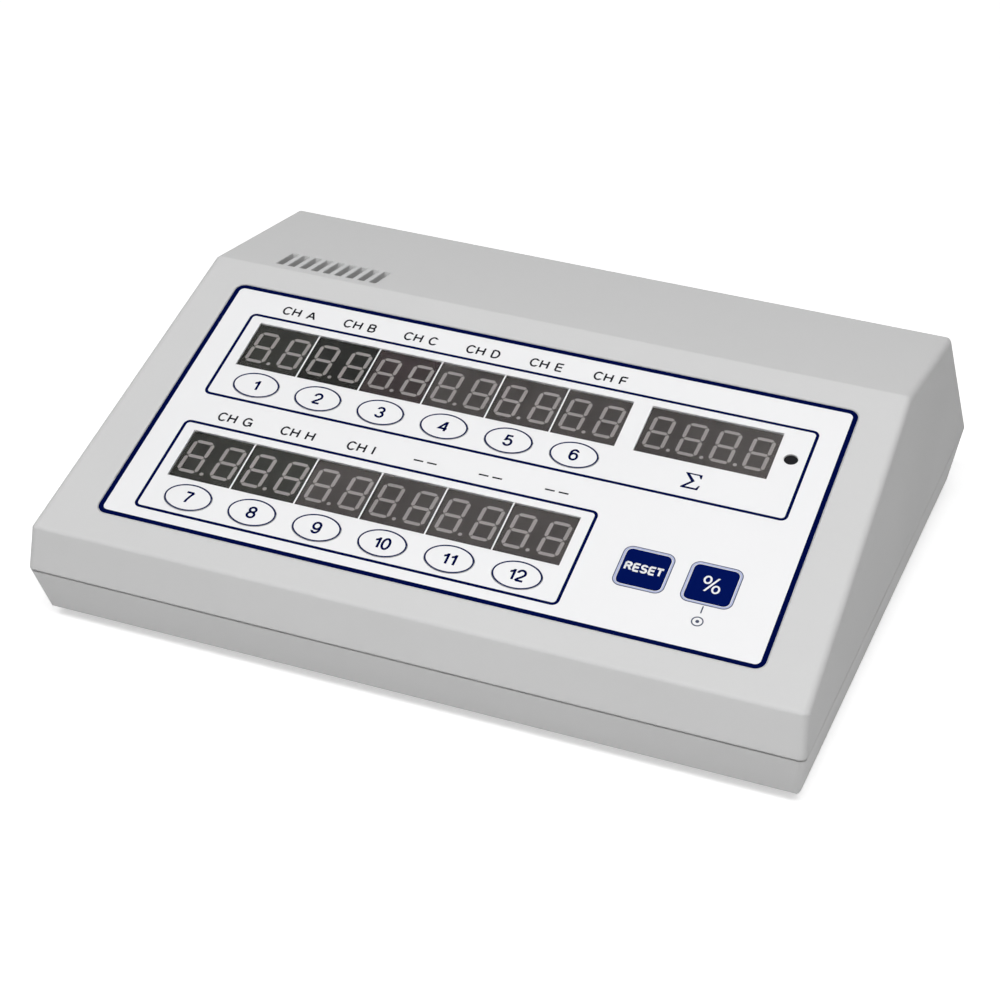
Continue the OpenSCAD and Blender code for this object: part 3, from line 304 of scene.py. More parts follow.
def prism(outline, low, high):
    """Closed prism over an outline that runs counterclockwise, between two heights."""
    n = len(outline)
    points = np.concatenate([np.column_stack([outline, np.full(n, z)]) for z in (low, high)])
    base = np.arange(n)
    after = np.roll(base, -1)
    walls = np.stack([base, after, after + n, base + n], -1).tolist()
    return points, [base[::-1].tolist(), (base + n).tolist()] + walls


def bar(middle, width, height, low, high):
    """Flat rectangular prism about a middle."""
    corners = np.array([[-1, -1], [1, -1], [1, 1], [-1, 1]]) * np.array([width, height]) / 2
    return prism(corners + np.asarray(middle), low, high)


def lathe(profile, centre, turns=48):
    """Solid of revolution: each (radius, height) of the profile, from the lower face up, carried
    round a centre, and a fan of triangles from the axis to either end."""
    profile = np.asarray(profile, float)
    rows, turn = len(profile), np.arange(turns) * 2 * math.pi / turns
    flat = profile[:, None, :1] * compass(turn)[None] + np.asarray(centre)[:2]
    height = np.broadcast_to(profile[:, None, 1:], (rows, turns, 1))
    poles = [[*centre[:2], profile[0, 1]], [*centre[:2], profile[-1, 1]]]
    points = np.concatenate([np.concatenate([flat, height], -1).reshape(-1, 3), poles])
    index = np.arange(rows * turns).reshape(rows, turns)
    after = np.roll(index, -1, 1)
    walls = np.stack([index[:-1], after[:-1], after[1:], index[1:]], -1).reshape(-1, 4).tolist()
    base = [[rows * turns, b, a] for a, b in zip(index[0].tolist(), after[0].tolist())]
    lid = [[rows * turns + 1, a, b] for a, b in zip(index[-1].tolist(), after[-1].tolist())]
    return points, walls + base + lid


FACING = 0.9  # least cosine between a face's normal and the way it is said to look


def flat_faces(node, towards, count):
    """Frames of a CAD node's largest flat faces that look one way. Each is the face's middle
    and the unit vectors across it, up it and out of it."""
    groups = {}
    for face in frame["nodes"][node].data.polygons:
        if face.normal.dot(towards) > FACING:
            groups.setdefault(tuple(round(part, 2) for part in face.normal), []).append(face)

    def area(group):
        return sum(face.area for face in group)

    frames = []
    for group in sorted(groups.values(), key=area, reverse=True)[:count]:
        middle = sum((face.center * face.area for face in group), Vector()) / area(group)
        out = group[0].normal.normalized()
        across = Vector((0, 0, 1)).cross(out).normalized()
        frames.append([np.array(axis) for axis in (middle, across, out.cross(across), out)])
    return frames


def on_face(shape, place):
    """A shape drawn flat, laid on a face's frame."""
    points, faces = shape
    return points @ np.array(place[1:]) + place[0], faces


def joined(shapes):
    """Several shapes as one: the points in a row and the faces renumbered."""
    points, faces, start = [], [], 0
    for some, quads in shapes:
        points.append(some)
        faces += [[i + start for i in face] for face in quads]
        start += len(some)
    return np.concatenate(points), faces


# ---- Letters and signs ----


def arc(x, y, width, height, start, stop, steps=15):
    """Points on an ellipse between two angles in degrees: half its width times the cosine and
    half its height times the sine."""
    turn = np.radians(np.linspace(start, stop, steps))
    return (np.array([x, y]) + compass(turn) * (width, height) / 2).tolist()


def make_glyphs():
    """Plain numerals and capitals. Each has the width of its strokes' middle lines, as a share of
    their height, and its strokes as lines of points in a unit square."""
    stem, top, base = [(0, 0), (0, 1)], [(0, 1), (1, 1)], [(0, 0), (1, 0)]
    high_arm, low_arm = [(0, 1), (1.15, 1)], [(0, 0), (1.15, 0)]
    high_ring = arc(0.5, 0.765, 0.88, 0.47, 0, 360, 29)
    six = [arc(0.5, 0.32, 1, 0.64, 0, 360, 29), arc(0.5, 0.64, 1, 0.72, 28, 180) + [(0, 0.32)]]
    two = arc(0.5, 0.71, 1, 0.58, 178, -32) + [(0.62, 0.37), (0.24, 0.19), (0, 0)]
    five = arc(0.47, 0.325, 1.04, 0.65, 152, -164)
    high_bow = [(0, 1)] + arc(0.56, 0.76, 0.78, 0.48, 90, -90) + [(0, 0.52)]
    low_bow = [(0, 0.52)] + arc(0.6, 0.26, 0.8, 0.52, 90, -90) + [(0, 0)]
    return {
        "0": (0.55, [arc(0.5, 0.5, 1, 1, 0, 360, 33)]),
        "1": (0.32, [[(1, 1), (1, 0)], arc(0, 1, 1.9, 0.54, -90, -10)]),
        "2": (0.56, [two, base]),
        "3": (0.55, [arc(0.48, 0.755, 0.9, 0.49, 168, -96), arc(0.48, 0.26, 1.02, 0.52, 96, -168)]),
        "4": (0.62, [[(0.76, 1), (0, 0.27), (1, 0.27)], [(0.76, 1), (0.76, 0)]]),
        "5": (0.56, [[(0.92, 1), (0.18, 1), (0.06, 0.46)], five]),
        "6": (0.56, six),
        "7": (0.56, [top, [(1, 1), (0.66, 0.6), (0.44, 0.25), (0.36, 0)]]),
        "8": (0.56, [high_ring, arc(0.5, 0.265, 1, 0.53, 0, 360, 29)]),
        "9": (0.56, [[(1 - x, 1 - y) for x, y in run] for run in six]),
        "A": (0.8, [[(0, 0), (0.5, 1)], [(1, 0), (0.5, 1)], [(0.17, 0.32), (0.83, 0.32)]]),
        "B": (0.64, [stem, high_bow, low_bow]),
        "C": (0.78, [arc(0.5, 0.5, 1, 1, 40, 320, 27)]),
        "D": (0.7, [stem, [(0, 1)] + arc(0.44, 0.5, 1.12, 1, 90, -90, 21) + [(0, 0)]]),
        "E": (0.56, [stem, high_arm, low_arm, [(0, 0.52), (1.06, 0.52)]]),
        "F": (0.54, [stem, high_arm, [(0, 0.5), (1.02, 0.5)]]),
        "G": (0.8, [arc(0.5, 0.5, 1, 1, 40, 330, 27), [(0.55, 0.46), (1, 0.46), (1, 0)]]),
        "H": (0.7, [stem, [(1, 0), (1, 1)], [(0, 0.52), (1, 0.52)]]),
        "I": (0, [stem]),
        "R": (0.66, [stem, high_bow, [(0.56, 0.52), (1, 0)]]),
        "S": (0.62, [arc(0.5, 0.745, 0.96, 0.51, 22, 270) + arc(0.5, 0.25, 1, 0.5, 80, -158)]),
        "T": (0.6, [[(-0.15, 1), (1.15, 1)], [(0.5, 1), (0.5, 0)]]),
        "%": (0.92, [
            arc(0.19, 0.77, 0.38, 0.46, 0, 360, 25), arc(0.81, 0.23, 0.38, 0.46, 0, 360, 25),
            [(0.2, 0), (0.8, 1)],
        ]),
    }


GLYPHS = make_glyphs()
LETTER_GAP = 0.08  # gap between two letters, as a share of their height
WORD_GAP = 0.5
STRAIGHT_BACK = 1e-9  # keeps the mitre finite where a stroke turns straight back
SUM_OUTLINE = np.array([
    [-0.44, -0.5], [0.40, -0.5], [0.45, -0.2], [0.38, -0.2], [0.30, -0.39], [-0.24, -0.39],
    [0.13, 0.03], [-0.22, 0.42], [0.24, 0.42], [0.33, 0.24], [0.40, 0.24], [0.38, 0.5],
    [-0.43, 0.5], [-0.43, 0.46], [-0.05, 0.0], [-0.44, -0.43],
])


def ribbon(path, width, low, high):
    """Flat stroke along a line of points. Each joint is mitred: the offset is the sum of the two
    neighbours' unit normals over one plus their product. A loose end is cut along the nearer
    axis."""
    path = np.asarray(path, float)
    closed = np.allclose(path[0], path[-1])
    if closed:
        path = path[:-1]
    runs = np.roll(path, -1, 0) - path
    normal = np.stack([runs[:, 1], -runs[:, 0]], -1) / np.linalg.norm(runs, axis=1, keepdims=True)
    before = np.roll(normal, 1, 0)
    share = 1 + (normal * before).sum(1, keepdims=True)
    offset = (normal + before) / np.maximum(share, STRAIGHT_BACK)
    if closed:
        return loop_band(path, offset, width, low, high)
    for end, facing in ((0, normal[0]), (-1, normal[-2])):
        axis = np.eye(2)[np.argmax(np.abs(facing))]
        offset[end] = axis / (axis @ facing)
    points, quads = loop_band(path, offset, width, low, high)
    last = len(points) - 4
    return points, quads[:-4] + [[0, 1, 2, 3], [last + 3, last + 2, last + 1, last]]


def lettering(words, middle, height, stroke, low, high, width=None):
    """A line of glyphs about a middle, squeezed to a width where one is given."""
    tall, reach, shapes = height - stroke, 0.0, []
    for letter in words:
        if letter == " ":
            reach += WORD_GAP * height
            continue
        aspect, runs = GLYPHS[letter]
        corner = np.array([reach + stroke / 2, stroke / 2])
        for run in runs:
            line = np.array(run) * (aspect * tall, tall) + corner
            shapes.append(ribbon(line, stroke, low, high))
        reach += aspect * tall + stroke + LETTER_GAP * height
    reach -= LETTER_GAP * height
    points, faces = joined(shapes)
    squeeze = 1.0 if width is None else width / reach
    points[:, 0] = (points[:, 0] - reach / 2) * squeeze + middle[0]
    points[:, 1] += middle[1] - height / 2
    return points, faces


# ---- Pieces and their nodes ----


def add_object(name, data):
    """An object with this data, put into the scene at the origin."""
    made = bpy.data.objects.new(name, data)
    bpy.context.scene.collection.objects.link(made)
    return made


def add_mesh(name, points, faces, material):
    """A mesh object with one material."""
    mesh = bpy.data.meshes.new(name)
    mesh.from_pydata(points.tolist(), [], faces)
    mesh.materials.append(material)
    return add_object(name, mesh)


def add_piece(name, shape, material, body=CASE, local=True, smooth=None):
    """Puts a shape into the scene as a piece that rides on a body. A local shape is in the
    film's own frame, and smooth is the angle in degrees up to which edges are shaded round."""
    points, faces = shape
    piece = add_mesh(name, from_film(points) if local else points, faces, material)
    if smooth is not None:
        piece.data.shade_smooth()
        piece.data.set_sharp_from_angle(angle=math.radians(smooth))
    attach(piece, body)
    return piece


def feed(node, **values):
    """Gives a node's inputs their values or links. Underscores stand for the spaces in their
    names, and i0, i1 and so on name an input by its place."""
    for name, value in values.items():
        by_place = name[0] == "i" and name[1:].isdigit()
        socket = node.inputs[int(name[1:]) if by_place else name.replace("_", " ")]
        if isinstance(value, NodeSocket):
            node.id_data.links.new(value, socket)
        else:
            socket.default_value = value


def add_node(tree, kind, **values):
    """A shader node with its own settings and its inputs."""
    made = tree.nodes.new("ShaderNode" + kind)
    for name in [name for name in values if hasattr(made, name)]:
        setattr(made, name, values.pop(name))
    feed(made, **values)
    return made


def math_node(tree, operation, first, second):
    """Output of a Math node on two terms."""
    return add_node(tree, "Math", operation=operation, i0=first, i1=second).outputs[0]


def spread(tree, value, low, high, start=0.0, stop=1.0):
    """A value between start and stop, spread evenly between low and high."""
    made = add_node(
        tree, "MapRange", Value=value, From_Min=start, From_Max=stop, To_Min=low, To_Max=high
    )
    return made.outputs[0]


def noise(tree, place, scale, detail=2.0, roughness=0.5):
    """Value of a noise at a place."""
    made = add_node(
        tree, "TexNoise", Vector=place, Scale=scale, Detail=detail, Roughness=roughness
    )
    return made.outputs[0]


def object_place(tree):
    """Place of a point in Object coordinates, which are the CAD frame's."""
    return add_node(tree, "TexCoord").outputs["Object"]


# ---- Effects that materials share ----


SOCKETS = {"c": "NodeSocketColor", "n": "NodeSocketFloat", "v": "NodeSocketVector"}
GRAIN_STEP = 3.0  # how much coarser the second noise of the grain is
EDGE_TURN = (0.99, 0.8)  # cosines of the turn at which the mask of an edge's painted highlight starts and is full
PAINTED_EDGE_HIGHLIGHT = 0.06  # how much lighter the colour is painted at an edge: a painted highlight


def new_effect(name, inputs, outputs):
    """A shader node group with named inputs and outputs: its tree, inputs and end node."""
    tree = bpy.data.node_groups.new(name, "ShaderNodeTree")
    for label, kind, value in inputs:
        socket = tree.interface.new_socket(label, in_out="INPUT", socket_type=SOCKETS[kind])
        socket.default_value = value
    for label, kind in outputs:
        tree.interface.new_socket(label, in_out="OUTPUT", socket_type=SOCKETS[kind])
    return tree, tree.nodes.new("NodeGroupInput").outputs, tree.nodes.new("NodeGroupOutput")


def make_grain(name):
    """Fine spark-eroded grain: two noises a step apart, as a height, and a slow noise that says
    where the surface has been handled."""
    tree, ins, outs = new_effect(name, [("Size", "n", 3000.0)], [("Height", "n"), ("Patch", "n")])
    place = object_place(tree)
    fine = noise(tree, place, ins["Size"], 2.0, 0.6)
    broad = noise(tree, place, math_node(tree, "DIVIDE", ins["Size"], GRAIN_STEP), 1.0)
    slow = noise(tree, place, 32.0, 4.0, 0.55)
    patch = spread(tree, slow, 0.0, 1.0, 0.35, 0.65)
    feed(outs, Height=math_node(tree, "ADD", fine, broad), Patch=patch)
    return tree


def make_edge(name):
    """Rounded look of a moulded edge: the normal averaged over a small radius, and a mask that is 1
    where that normal turns away from the face's own, which says where a highlight is painted."""
    tree, ins, outs = new_effect(name, [("Radius", "n", 0.0004)], [("Normal", "v"), ("Mask", "n")])
    soft = add_node(tree, "Bevel", samples=4, Radius=ins["Radius"]).outputs[0]
    own = add_node(tree, "NewGeometry").outputs["Normal"]
    alike = add_node(tree, "VectorMath", operation="DOT_PRODUCT", i0=soft, i1=own)
    feed(outs, Normal=soft, Mask=spread(tree, alike.outputs["Value"], 0.0, 1.0, *EDGE_TURN))
    return tree


def make_tone(name):
    """Slight change of tone: a colour darkened where a patch is low, and lightened at an edge as a
    painted highlight.
    """
    inputs = [("Color", "c", (1, 1, 1, 1)), ("Patch", "n", 0.5), ("Depth", "n", 0.03)]
    tree, ins, outs = new_effect(name, inputs + [("Edge", "n", 0.0)], [("Color", "c")])
    low = math_node(tree, "SUBTRACT", 1.0, ins["Depth"])
    # painted highlight: the colour is made lighter where the edge's mask is full
    painted_highlight = math_node(tree, "MULTIPLY", ins["Edge"], PAINTED_EDGE_HIGHLIGHT)
    total = math_node(tree, "ADD", spread(tree, ins["Patch"], low, 1.0), painted_highlight)
    tinted = add_node(tree, "VectorMath", operation="SCALE", i0=ins["Color"], Scale=total)
    feed(outs, Color=tinted.outputs[0])
    return tree


EFFECTS = {"moulded grain": make_grain, "moulded edge": make_edge, "tone": make_tone}


def place_effect(tree, name, **values):
    """One use of a shared effect, with its own values. The first use builds the effect."""
    made = add_node(tree, "Group")
    made.node_tree = bpy.data.node_groups.get(name) or EFFECTS[name](name)
    feed(made, **values)
    return made


# ---- Materials ----


# edge is the radius of the softened edge and of the painted highlight along it; 0 leaves both out
FILM_FINISH = dict(
    grain=5200, bump=0.000006, rough=(0.35, 0.45), depth=0.015, edge=0.0001, shine=0.2
)
SHELL_FINISH = dict(rough=(0.62, 0.74), edge=0.0007, shine=0.3)
INK_FINISH = dict(grain=6000, bump=0.000003, rough=(0.45, 0.6), depth=0.1, edge=0, shine=0)
FACE_FINISH = dict(grain=4200, bump=0.000004, rough=(0.5, 0.65), depth=0.25, edge=0, shine=0)
LENS_FINISH = dict(grain=4000, bump=0.000005, rough=(0.5, 0.6), depth=0.12, edge=0, shine=0.1)
GAUZE_FINISH = dict(grain=4000, rough=(0.7, 0.9), depth=0.3, edge=0, shine=0.1)
RUBBER_FINISH = dict(grain=1800, bump=0.00003, rough=(0.7, 0.85), depth=0.2)
NO_MATT_YET = 0.5  # a ray's Diffuse Depth is 0 until it has met a matt surface


def new_material(name, **plain):
    """A material with one Principled shader and the plain values of its sockets."""
    made = bpy.data.materials.new(name)
    made.use_nodes = True
    shader = made.node_tree.nodes["Principled BSDF"]
    feed(shader, **plain)
    return made, made.node_tree, shader


def moulded(
    name, base, grain=3000, bump=0.00002, rough=(0.42, 0.55), depth=0.03, edge=0.0004, shine=0.5
):
    """Moulded plastic, ink or rubber: grain as a bump, roughness and tone that change in slow
    patches, and softened edges with a painted highlight where a radius is given."""
    made, tree, shader = new_material(name, Specular_IOR_Level=shine)
    fine = place_effect(tree, "moulded grain", Size=grain).outputs
    tone = place_effect(tree, "tone", Color=(*base, 1), Depth=depth, Patch=fine["Patch"])
    relief = add_node(tree, "Bump", Strength=1.0, Distance=bump, Height=fine["Height"])
    if edge:
        corner = place_effect(tree, "moulded edge", Radius=edge).outputs
        feed(relief, Normal=corner["Normal"])
        # the edge's mask paints a highlight into the colour
        feed(tone, Edge=corner["Mask"])
    gloss = spread(tree, fine["Patch"], *rough)
    feed(shader, Base_Color=tone.outputs[0], Roughness=gloss, Normal=relief.outputs[0])
    return made


def printed(name, base):
    """Matte screen-printed ink: almost no relief, and no soft edges."""
    return moulded(name, base, **INK_FINISH)


def metal(name, base, lines=0.0, rough=(0.25, 0.42), depth=0.12):
    """Plated or rolled metal: fine scratches, stretched along X where lines are asked for."""
    made, tree, shader = new_material(name, Metallic=1.0)
    place = object_place(tree)
    stretch = add_node(tree, "Mapping", Vector=place, Scale=(1.0 - 0.95 * lines, 1, 1))
    rubbed = noise(tree, stretch.outputs[0], 2600.0, 3.0)
    slow = noise(tree, place, 260.0, 3.0)
    tone = place_effect(tree, "tone", Color=(*base, 1), Depth=depth, Patch=slow)
    relief = add_node(tree, "Bump", Strength=0.6, Distance=0.00001, Height=rubbed)
    gloss = spread(tree, rubbed, *rough)
    feed(shader, Base_Color=tone.outputs[0], Roughness=gloss, Normal=relief.outputs[0])
    return made


def clear(name, tint, grain, rough, **plain):
    """Clear film or glass, whose polish changes in slow patches."""
    made, tree, shader = new_material(name, Base_Color=(*tint, 1), Transmission_Weight=1, **plain)
    fine = place_effect(tree, "moulded grain", Size=grain)
    feed(shader, Roughness=spread(tree, fine.outputs["Patch"], *rough))
    return made


def seen_rays(tree):
    """1 for a ray that shows the surroundings: one from the camera, or one that gloss or clear
    film sends on, as long as no matt surface came before."""
    path = add_node(tree, "LightPath").outputs
    sent_on = math_node(tree, "MAXIMUM", path["Is Glossy Ray"], path["Is Transmission Ray"])
    shown = math_node(tree, "MAXIMUM", path["Is Camera Ray"], sent_on)
    direct = math_node(tree, "LESS_THAN", path["Diffuse Depth"], NO_MATT_YET)
    return math_node(tree, "MULTIPLY", shown, direct)


def dress(material, *nodes):
    """Gives CAD nodes a material, in the slots that they already have."""
    for node in nodes:
        for place in frame["nodes"][node].material_slots:
            place.material = material


def dress_all(*rows):
    """Dresses CAD nodes row by row: a maker of materials, a name, a colour or its code, a finish
    and the nodes in one string."""
    for make, name, base, finish, nodes in rows:
        base = ink(base) if isinstance(base, str) else base
        dress(make(name, base, **finish), *nodes.split())


def settings():
    """The scene's own sizes and colours."""
    scene = bpy.context.scene
    return scene.counter_print, scene.counter_digits, scene.counter_colours, scene.counter_studio


# ---- Operators ----


class CounterShells(Operator):
    """Finishes the two halves of the case"""

    bl_idname = "counter.shells"
    bl_label = "Case shells"

    def execute(self, context):
        colours = settings()[2]
        upper = moulded("upper shell plastic", colours.case_top, depth=0.025, **SHELL_FINISH)
        dress(upper, "upper_shell")
        dress(moulded("lower shell plastic", colours.case_low, **SHELL_FINISH), "lower_shell")
        return {"FINISHED"}


class CounterFilm(Operator):
    """Prints the frames, boxes, labels and signs on the panel's film"""

    bl_idname = "counter.film"
    bl_label = "Panel print"

    HOLE_AWAY = 8 * MM  # the sound hole's edge is nearer than this to the total display
    HOLE_HALF = 4 * MM  # and it reaches less than this above and below the display's middle

    def execute(self, context):
        sizes, _, colours, _ = settings()
        film = moulded("film", colours.film, **FILM_FINISH)
        dress(film, "panel_overlay")
        navy = printed("navy ink", colours.navy)
        self.lines(sizes, navy)
        self.labels(sizes, printed("legend ink", colours.legend))
        self.signs(sizes, navy, colours)
        self.dividers(sizes, film)
        self.gauze(sizes, colours)
        return {"FINISHED"}

    def lines(self, sizes, navy):
        """The outer frame and the two boxes."""
        width = FILM_HIGH.x - FILM_LOW.x - 2 * sizes.frame_side
        height = FILM_L - 2 * sizes.frame_side
        line = round_rect((0, FILM_L / 2), width, height, sizes.frame_r)
        add_piece("outer_frame", loop_band(*line, sizes.frame_w, 0, sizes.ink_t), navy)
        left = film_bounds("display_1")[0][0] - sizes.box_side
        upper_right = film_bounds("display_total")[1][0] + sizes.box_far
        lower_right = film_bounds("display_12")[1][0] + sizes.box_side
        for name, first, right in (("upper_box", 1, upper_right), ("lower_box", 7, lower_right)):
            top = film_bounds(f"display_{first}")[1][1] + sizes.box_top
            bottom = film_bounds(f"key_{first}")[0][1] - sizes.box_bottom
            middle = ((left + right) / 2, (top + bottom) / 2)
            line = round_rect(middle, right - left, top - bottom, sizes.box_r)
            add_piece(name, loop_band(*line, sizes.box_w, 0, sizes.ink_t), navy)

    def labels(self, sizes, ground):
        """A plain channel label, or two dashes, over every two-digit display."""
        shapes = []
        step = np.array([(sizes.dash_l + sizes.dash_gap) / 2, 0])
        for i, display in enumerate(PAIRS):
            middle = film_middle(display, sizes.label_up)
            if i < len(LABELS):
                words = f"CH {LABELS[i]}"
                height, stroke = sizes.label_h, sizes.label_w
                shapes.append(lettering(words, middle, height, stroke, 0, sizes.ink_t))
            else:
                for place in (middle - step, middle + step):
                    shapes.append(bar(place, sizes.dash_l, sizes.dash_w, 0, sizes.ink_t))
        add_piece("channel_labels", joined(shapes), ground)

    def signs(self, sizes, navy, colours):
        """The sum sign, the lines round the square keys, and the tick and mark under the percent
        key."""
        level = (0, sizes.ink_t)
        centre = film_middle("display_total", -sizes.sum_down)
        add_piece("sum_sign", prism(SUM_OUTLINE * sizes.sum_h + centre, *level), navy)
        grey_ink = printed("grey ink", colours.grey)
        band_ink = printed("lavender ink", colours.lavender)
        line_gap = sizes.square_band_gap + sizes.square_band_w
        for key in SQUARE_KEYS:
            corner, far = film_bounds(key)
            for name, width, gap, tint in (
                ("band", sizes.square_band_w, sizes.square_band_gap, band_ink),
                ("line", sizes.square_line_w, line_gap, grey_ink),
            ):
                grow = 2 * gap + width
                radius = sizes.square_key_r + grow / 2
                path = round_rect(film_middle(key), *(far - corner)[:2] + grow, radius)
                add_piece(f"{key}_{name}", loop_band(*path, width, *level), tint)
        below = film_middle("key_percent", -sizes.tick_down)
        tick = bar(below - (0, sizes.tick_l / 2), sizes.mark_w, sizes.tick_l, *level)
        eye = below - (0, sizes.tick_l + sizes.mark_gap + sizes.mark_r)
        circle = oval(eye, 2 * sizes.mark_r, 2 * sizes.mark_r, 32)
        dot = prism(oval(eye, sizes.mark_dot, sizes.mark_dot, 20)[0], *level)
        mark = joined([tick, loop_band(*circle, sizes.mark_w, *level), dot])
        add_piece("small_mark", mark, grey_ink)

    def dividers(self, sizes, film):
        """White lines between the displays of a row."""
        shapes = []
        for i in range(1, len(PAIRS)):
            if i % COLUMNS:
                left, right = film_bounds(f"display_{i}"), film_bounds(f"display_{i + 1}")
                middle = (left[1][0] + right[0][0]) / 2, film_middle(f"display_{i}")[1]
                height = left[1][1] - left[0][1]
                shapes.append(bar(middle, sizes.divider_w, height, 0, sizes.ink_t))
        add_piece("window_dividers", joined(shapes), film)

    def gauze(self, sizes, colours):
        """Black gauze in the sound hole: a disc that falls off to its rim with the square of the
        radius."""
        reach = np.linspace(1, 0, 8)[:-1]
        fall = -sizes.gauze_down - sizes.gauze_t * reach ** 2
        rim = [[sizes.gauze_r, -sizes.gauze_down - 2 * sizes.gauze_t]]
        profile = np.concatenate([rim, np.column_stack([sizes.gauze_r * reach, fall])])
        cloth = moulded("black gauze", colours.black, **GAUZE_FINISH)
        add_piece("sound_gauze", lathe(profile, self.hole_middle()), cloth)

    def hole_middle(self):
        """Middle of the sound hole: of the film's points right of the total display, at its
        height."""
        local = (node_points("panel_overlay") - FILM_ORIGIN) @ FILM_AXES.T
        away = local[:, 0] - film_bounds("display_total")[1][0]
        level = abs(local[:, 1] - film_middle("display_total")[1])
        hole = local[(away > MM) & (away < self.HOLE_AWAY) & (level < self.HOLE_HALF)][:, :2]
        return (hole.min(0) + hole.max(0)) / 2


class CounterKeys(Operator):
    """Finishes the keys and prints their rings, numbers and signs"""

    bl_idname = "counter.keys"
    bl_label = "Keys"

    def execute(self, context):
        sizes, _, colours, _ = settings()
        white = moulded("key white", colours.film, **FILM_FINISH)
        dress(white, *OVAL_KEYS)
        dress(printed("key navy", colours.key_navy), *SQUARE_KEYS)
        number_ink = printed("number ink", colours.navy)
        ring_ink = printed("ring ink", colours.ring)
        for i, key in enumerate(OVAL_KEYS):
            low, high = film_bounds(key)
            middle, level = film_middle(key), (high[2], high[2] + sizes.ink_t)
            number = lettering(str(i + 1), middle, sizes.number_h, sizes.number_w, *level)
            add_piece(f"{key}_number", number, number_ink, key)
            line = oval(middle, *(high - low)[:2] - sizes.ring_w)
            ring = loop_band(*line, sizes.ring_w, *level)
            add_piece(f"{key}_ring", ring, ring_ink, key)
        for key, words, height, stroke, width in (
            ("key_reset", "RESET", sizes.word_h, sizes.word_w, sizes.word_l),
            ("key_percent", "%", sizes.percent_h, sizes.percent_w, None),
        ):
            top = film_bounds(key)[1][2]
            level = (top, top + sizes.ink_t)
            sign = lettering(words, film_middle(key), height, stroke, *level, width)
            add_piece(f"{key}_sign", sign, white, key)
        return {"FINISHED"}


class CounterDisplays(Operator):
    """Builds the digits of the displays and the clear film over them"""

    bl_idname = "counter.displays"
    bl_label = "Displays"

    def execute(self, context):
        _, digits, colours, _ = settings()
        dim = "display_1 display_7 display_8"
        dress_all(
            (moulded, "display face", colours.face, FACE_FINISH, " ".join(DISPLAYS)),
            (moulded, "display face dim", colours.face_dim, FACE_FINISH, dim),
            (moulded, "display face dark", colours.face_dark, FACE_FINISH, "display_2"),
            (moulded, "display face warm", colours.face_warm, FACE_FINISH, "display_3"),
        )
        lens = moulded("segment lens", colours.segment, **LENS_FINISH)
        for display in DISPLAYS:
            middle, top = film_middle(display), film_bounds(display)[1][2]
            total = display == "display_total"
            count, pitch = (4, digits.total_pitch) if total else (2, digits.pair_pitch)
            shapes = []
            for i in range(count):
                at = middle + ((i - (count - 1) / 2) * pitch, 0)
                shapes += self.digit(digits, at, top, i < count - 1)
            add_piece(f"{display}_digits", joined(shapes), lens)
        self.windows(digits)
        return {"FINISHED"}

    def digit(self, digits, middle, top, point):
        """Seven hexagonal segments and a decimal point. Each segment is a bar with pointed ends:
        it runs between two corners of the figure eight, less the joint at either end."""
        half_w = (digits.digit_w - digits.stroke) / 2
        half_h = (digits.digit_h - digits.stroke) / 2
        runs = [
            ((-1, 1), (1, 1)), ((-1, 0), (1, 0)), ((-1, -1), (1, -1)),
            ((-1, 0), (-1, 1)), ((1, 0), (1, 1)), ((-1, -1), (-1, 0)), ((1, -1), (1, 0)),
        ]
        shear = np.array([[1, 0], [digits.lean, 1]])
        half = digits.stroke / 2
        outlines = []
        for start, end in np.array(runs) * (half_w, half_h):
            run = (end - start) / np.linalg.norm(end - start)
            left = np.array([-run[1], run[0]])
            start, end = start + run * digits.joint, end - run * digits.joint
            outlines.append(np.array([
                start, start + (run - left) * half, end - (run + left) * half,
                end, end - (run - left) * half, start + (run + left) * half,
            ]))
        if point:
            at = (digits.point_x, -half_h)
            outlines.append(oval(at, 2 * digits.point_r, 2 * digits.point_r, 16)[0])
        level = (top, top + digits.segment_t)
        return [prism(outline @ shear + middle, *level) for outline in outlines]

    def windows(self, digits):
        """Clear zones of the film, over the displays: thin sheets level with the film's face."""
        glassy = clear("clear film", (0.97, 0.97, 0.97), 4200.0, (0.1, 0.2), IOR=1.1)
        shapes = []
        for first, last in (
            ("display_1", "display_6"), ("display_7", "display_12"), ("display_total",) * 2
        ):
            low, high = film_bounds(first)[0][:2], film_bounds(last)[1][:2]
            shapes.append(bar((low + high) / 2, *(high - low), -digits.window_t, 0))
        piece = add_piece("clear_windows", joined(shapes), glassy)
        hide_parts("display_windows")


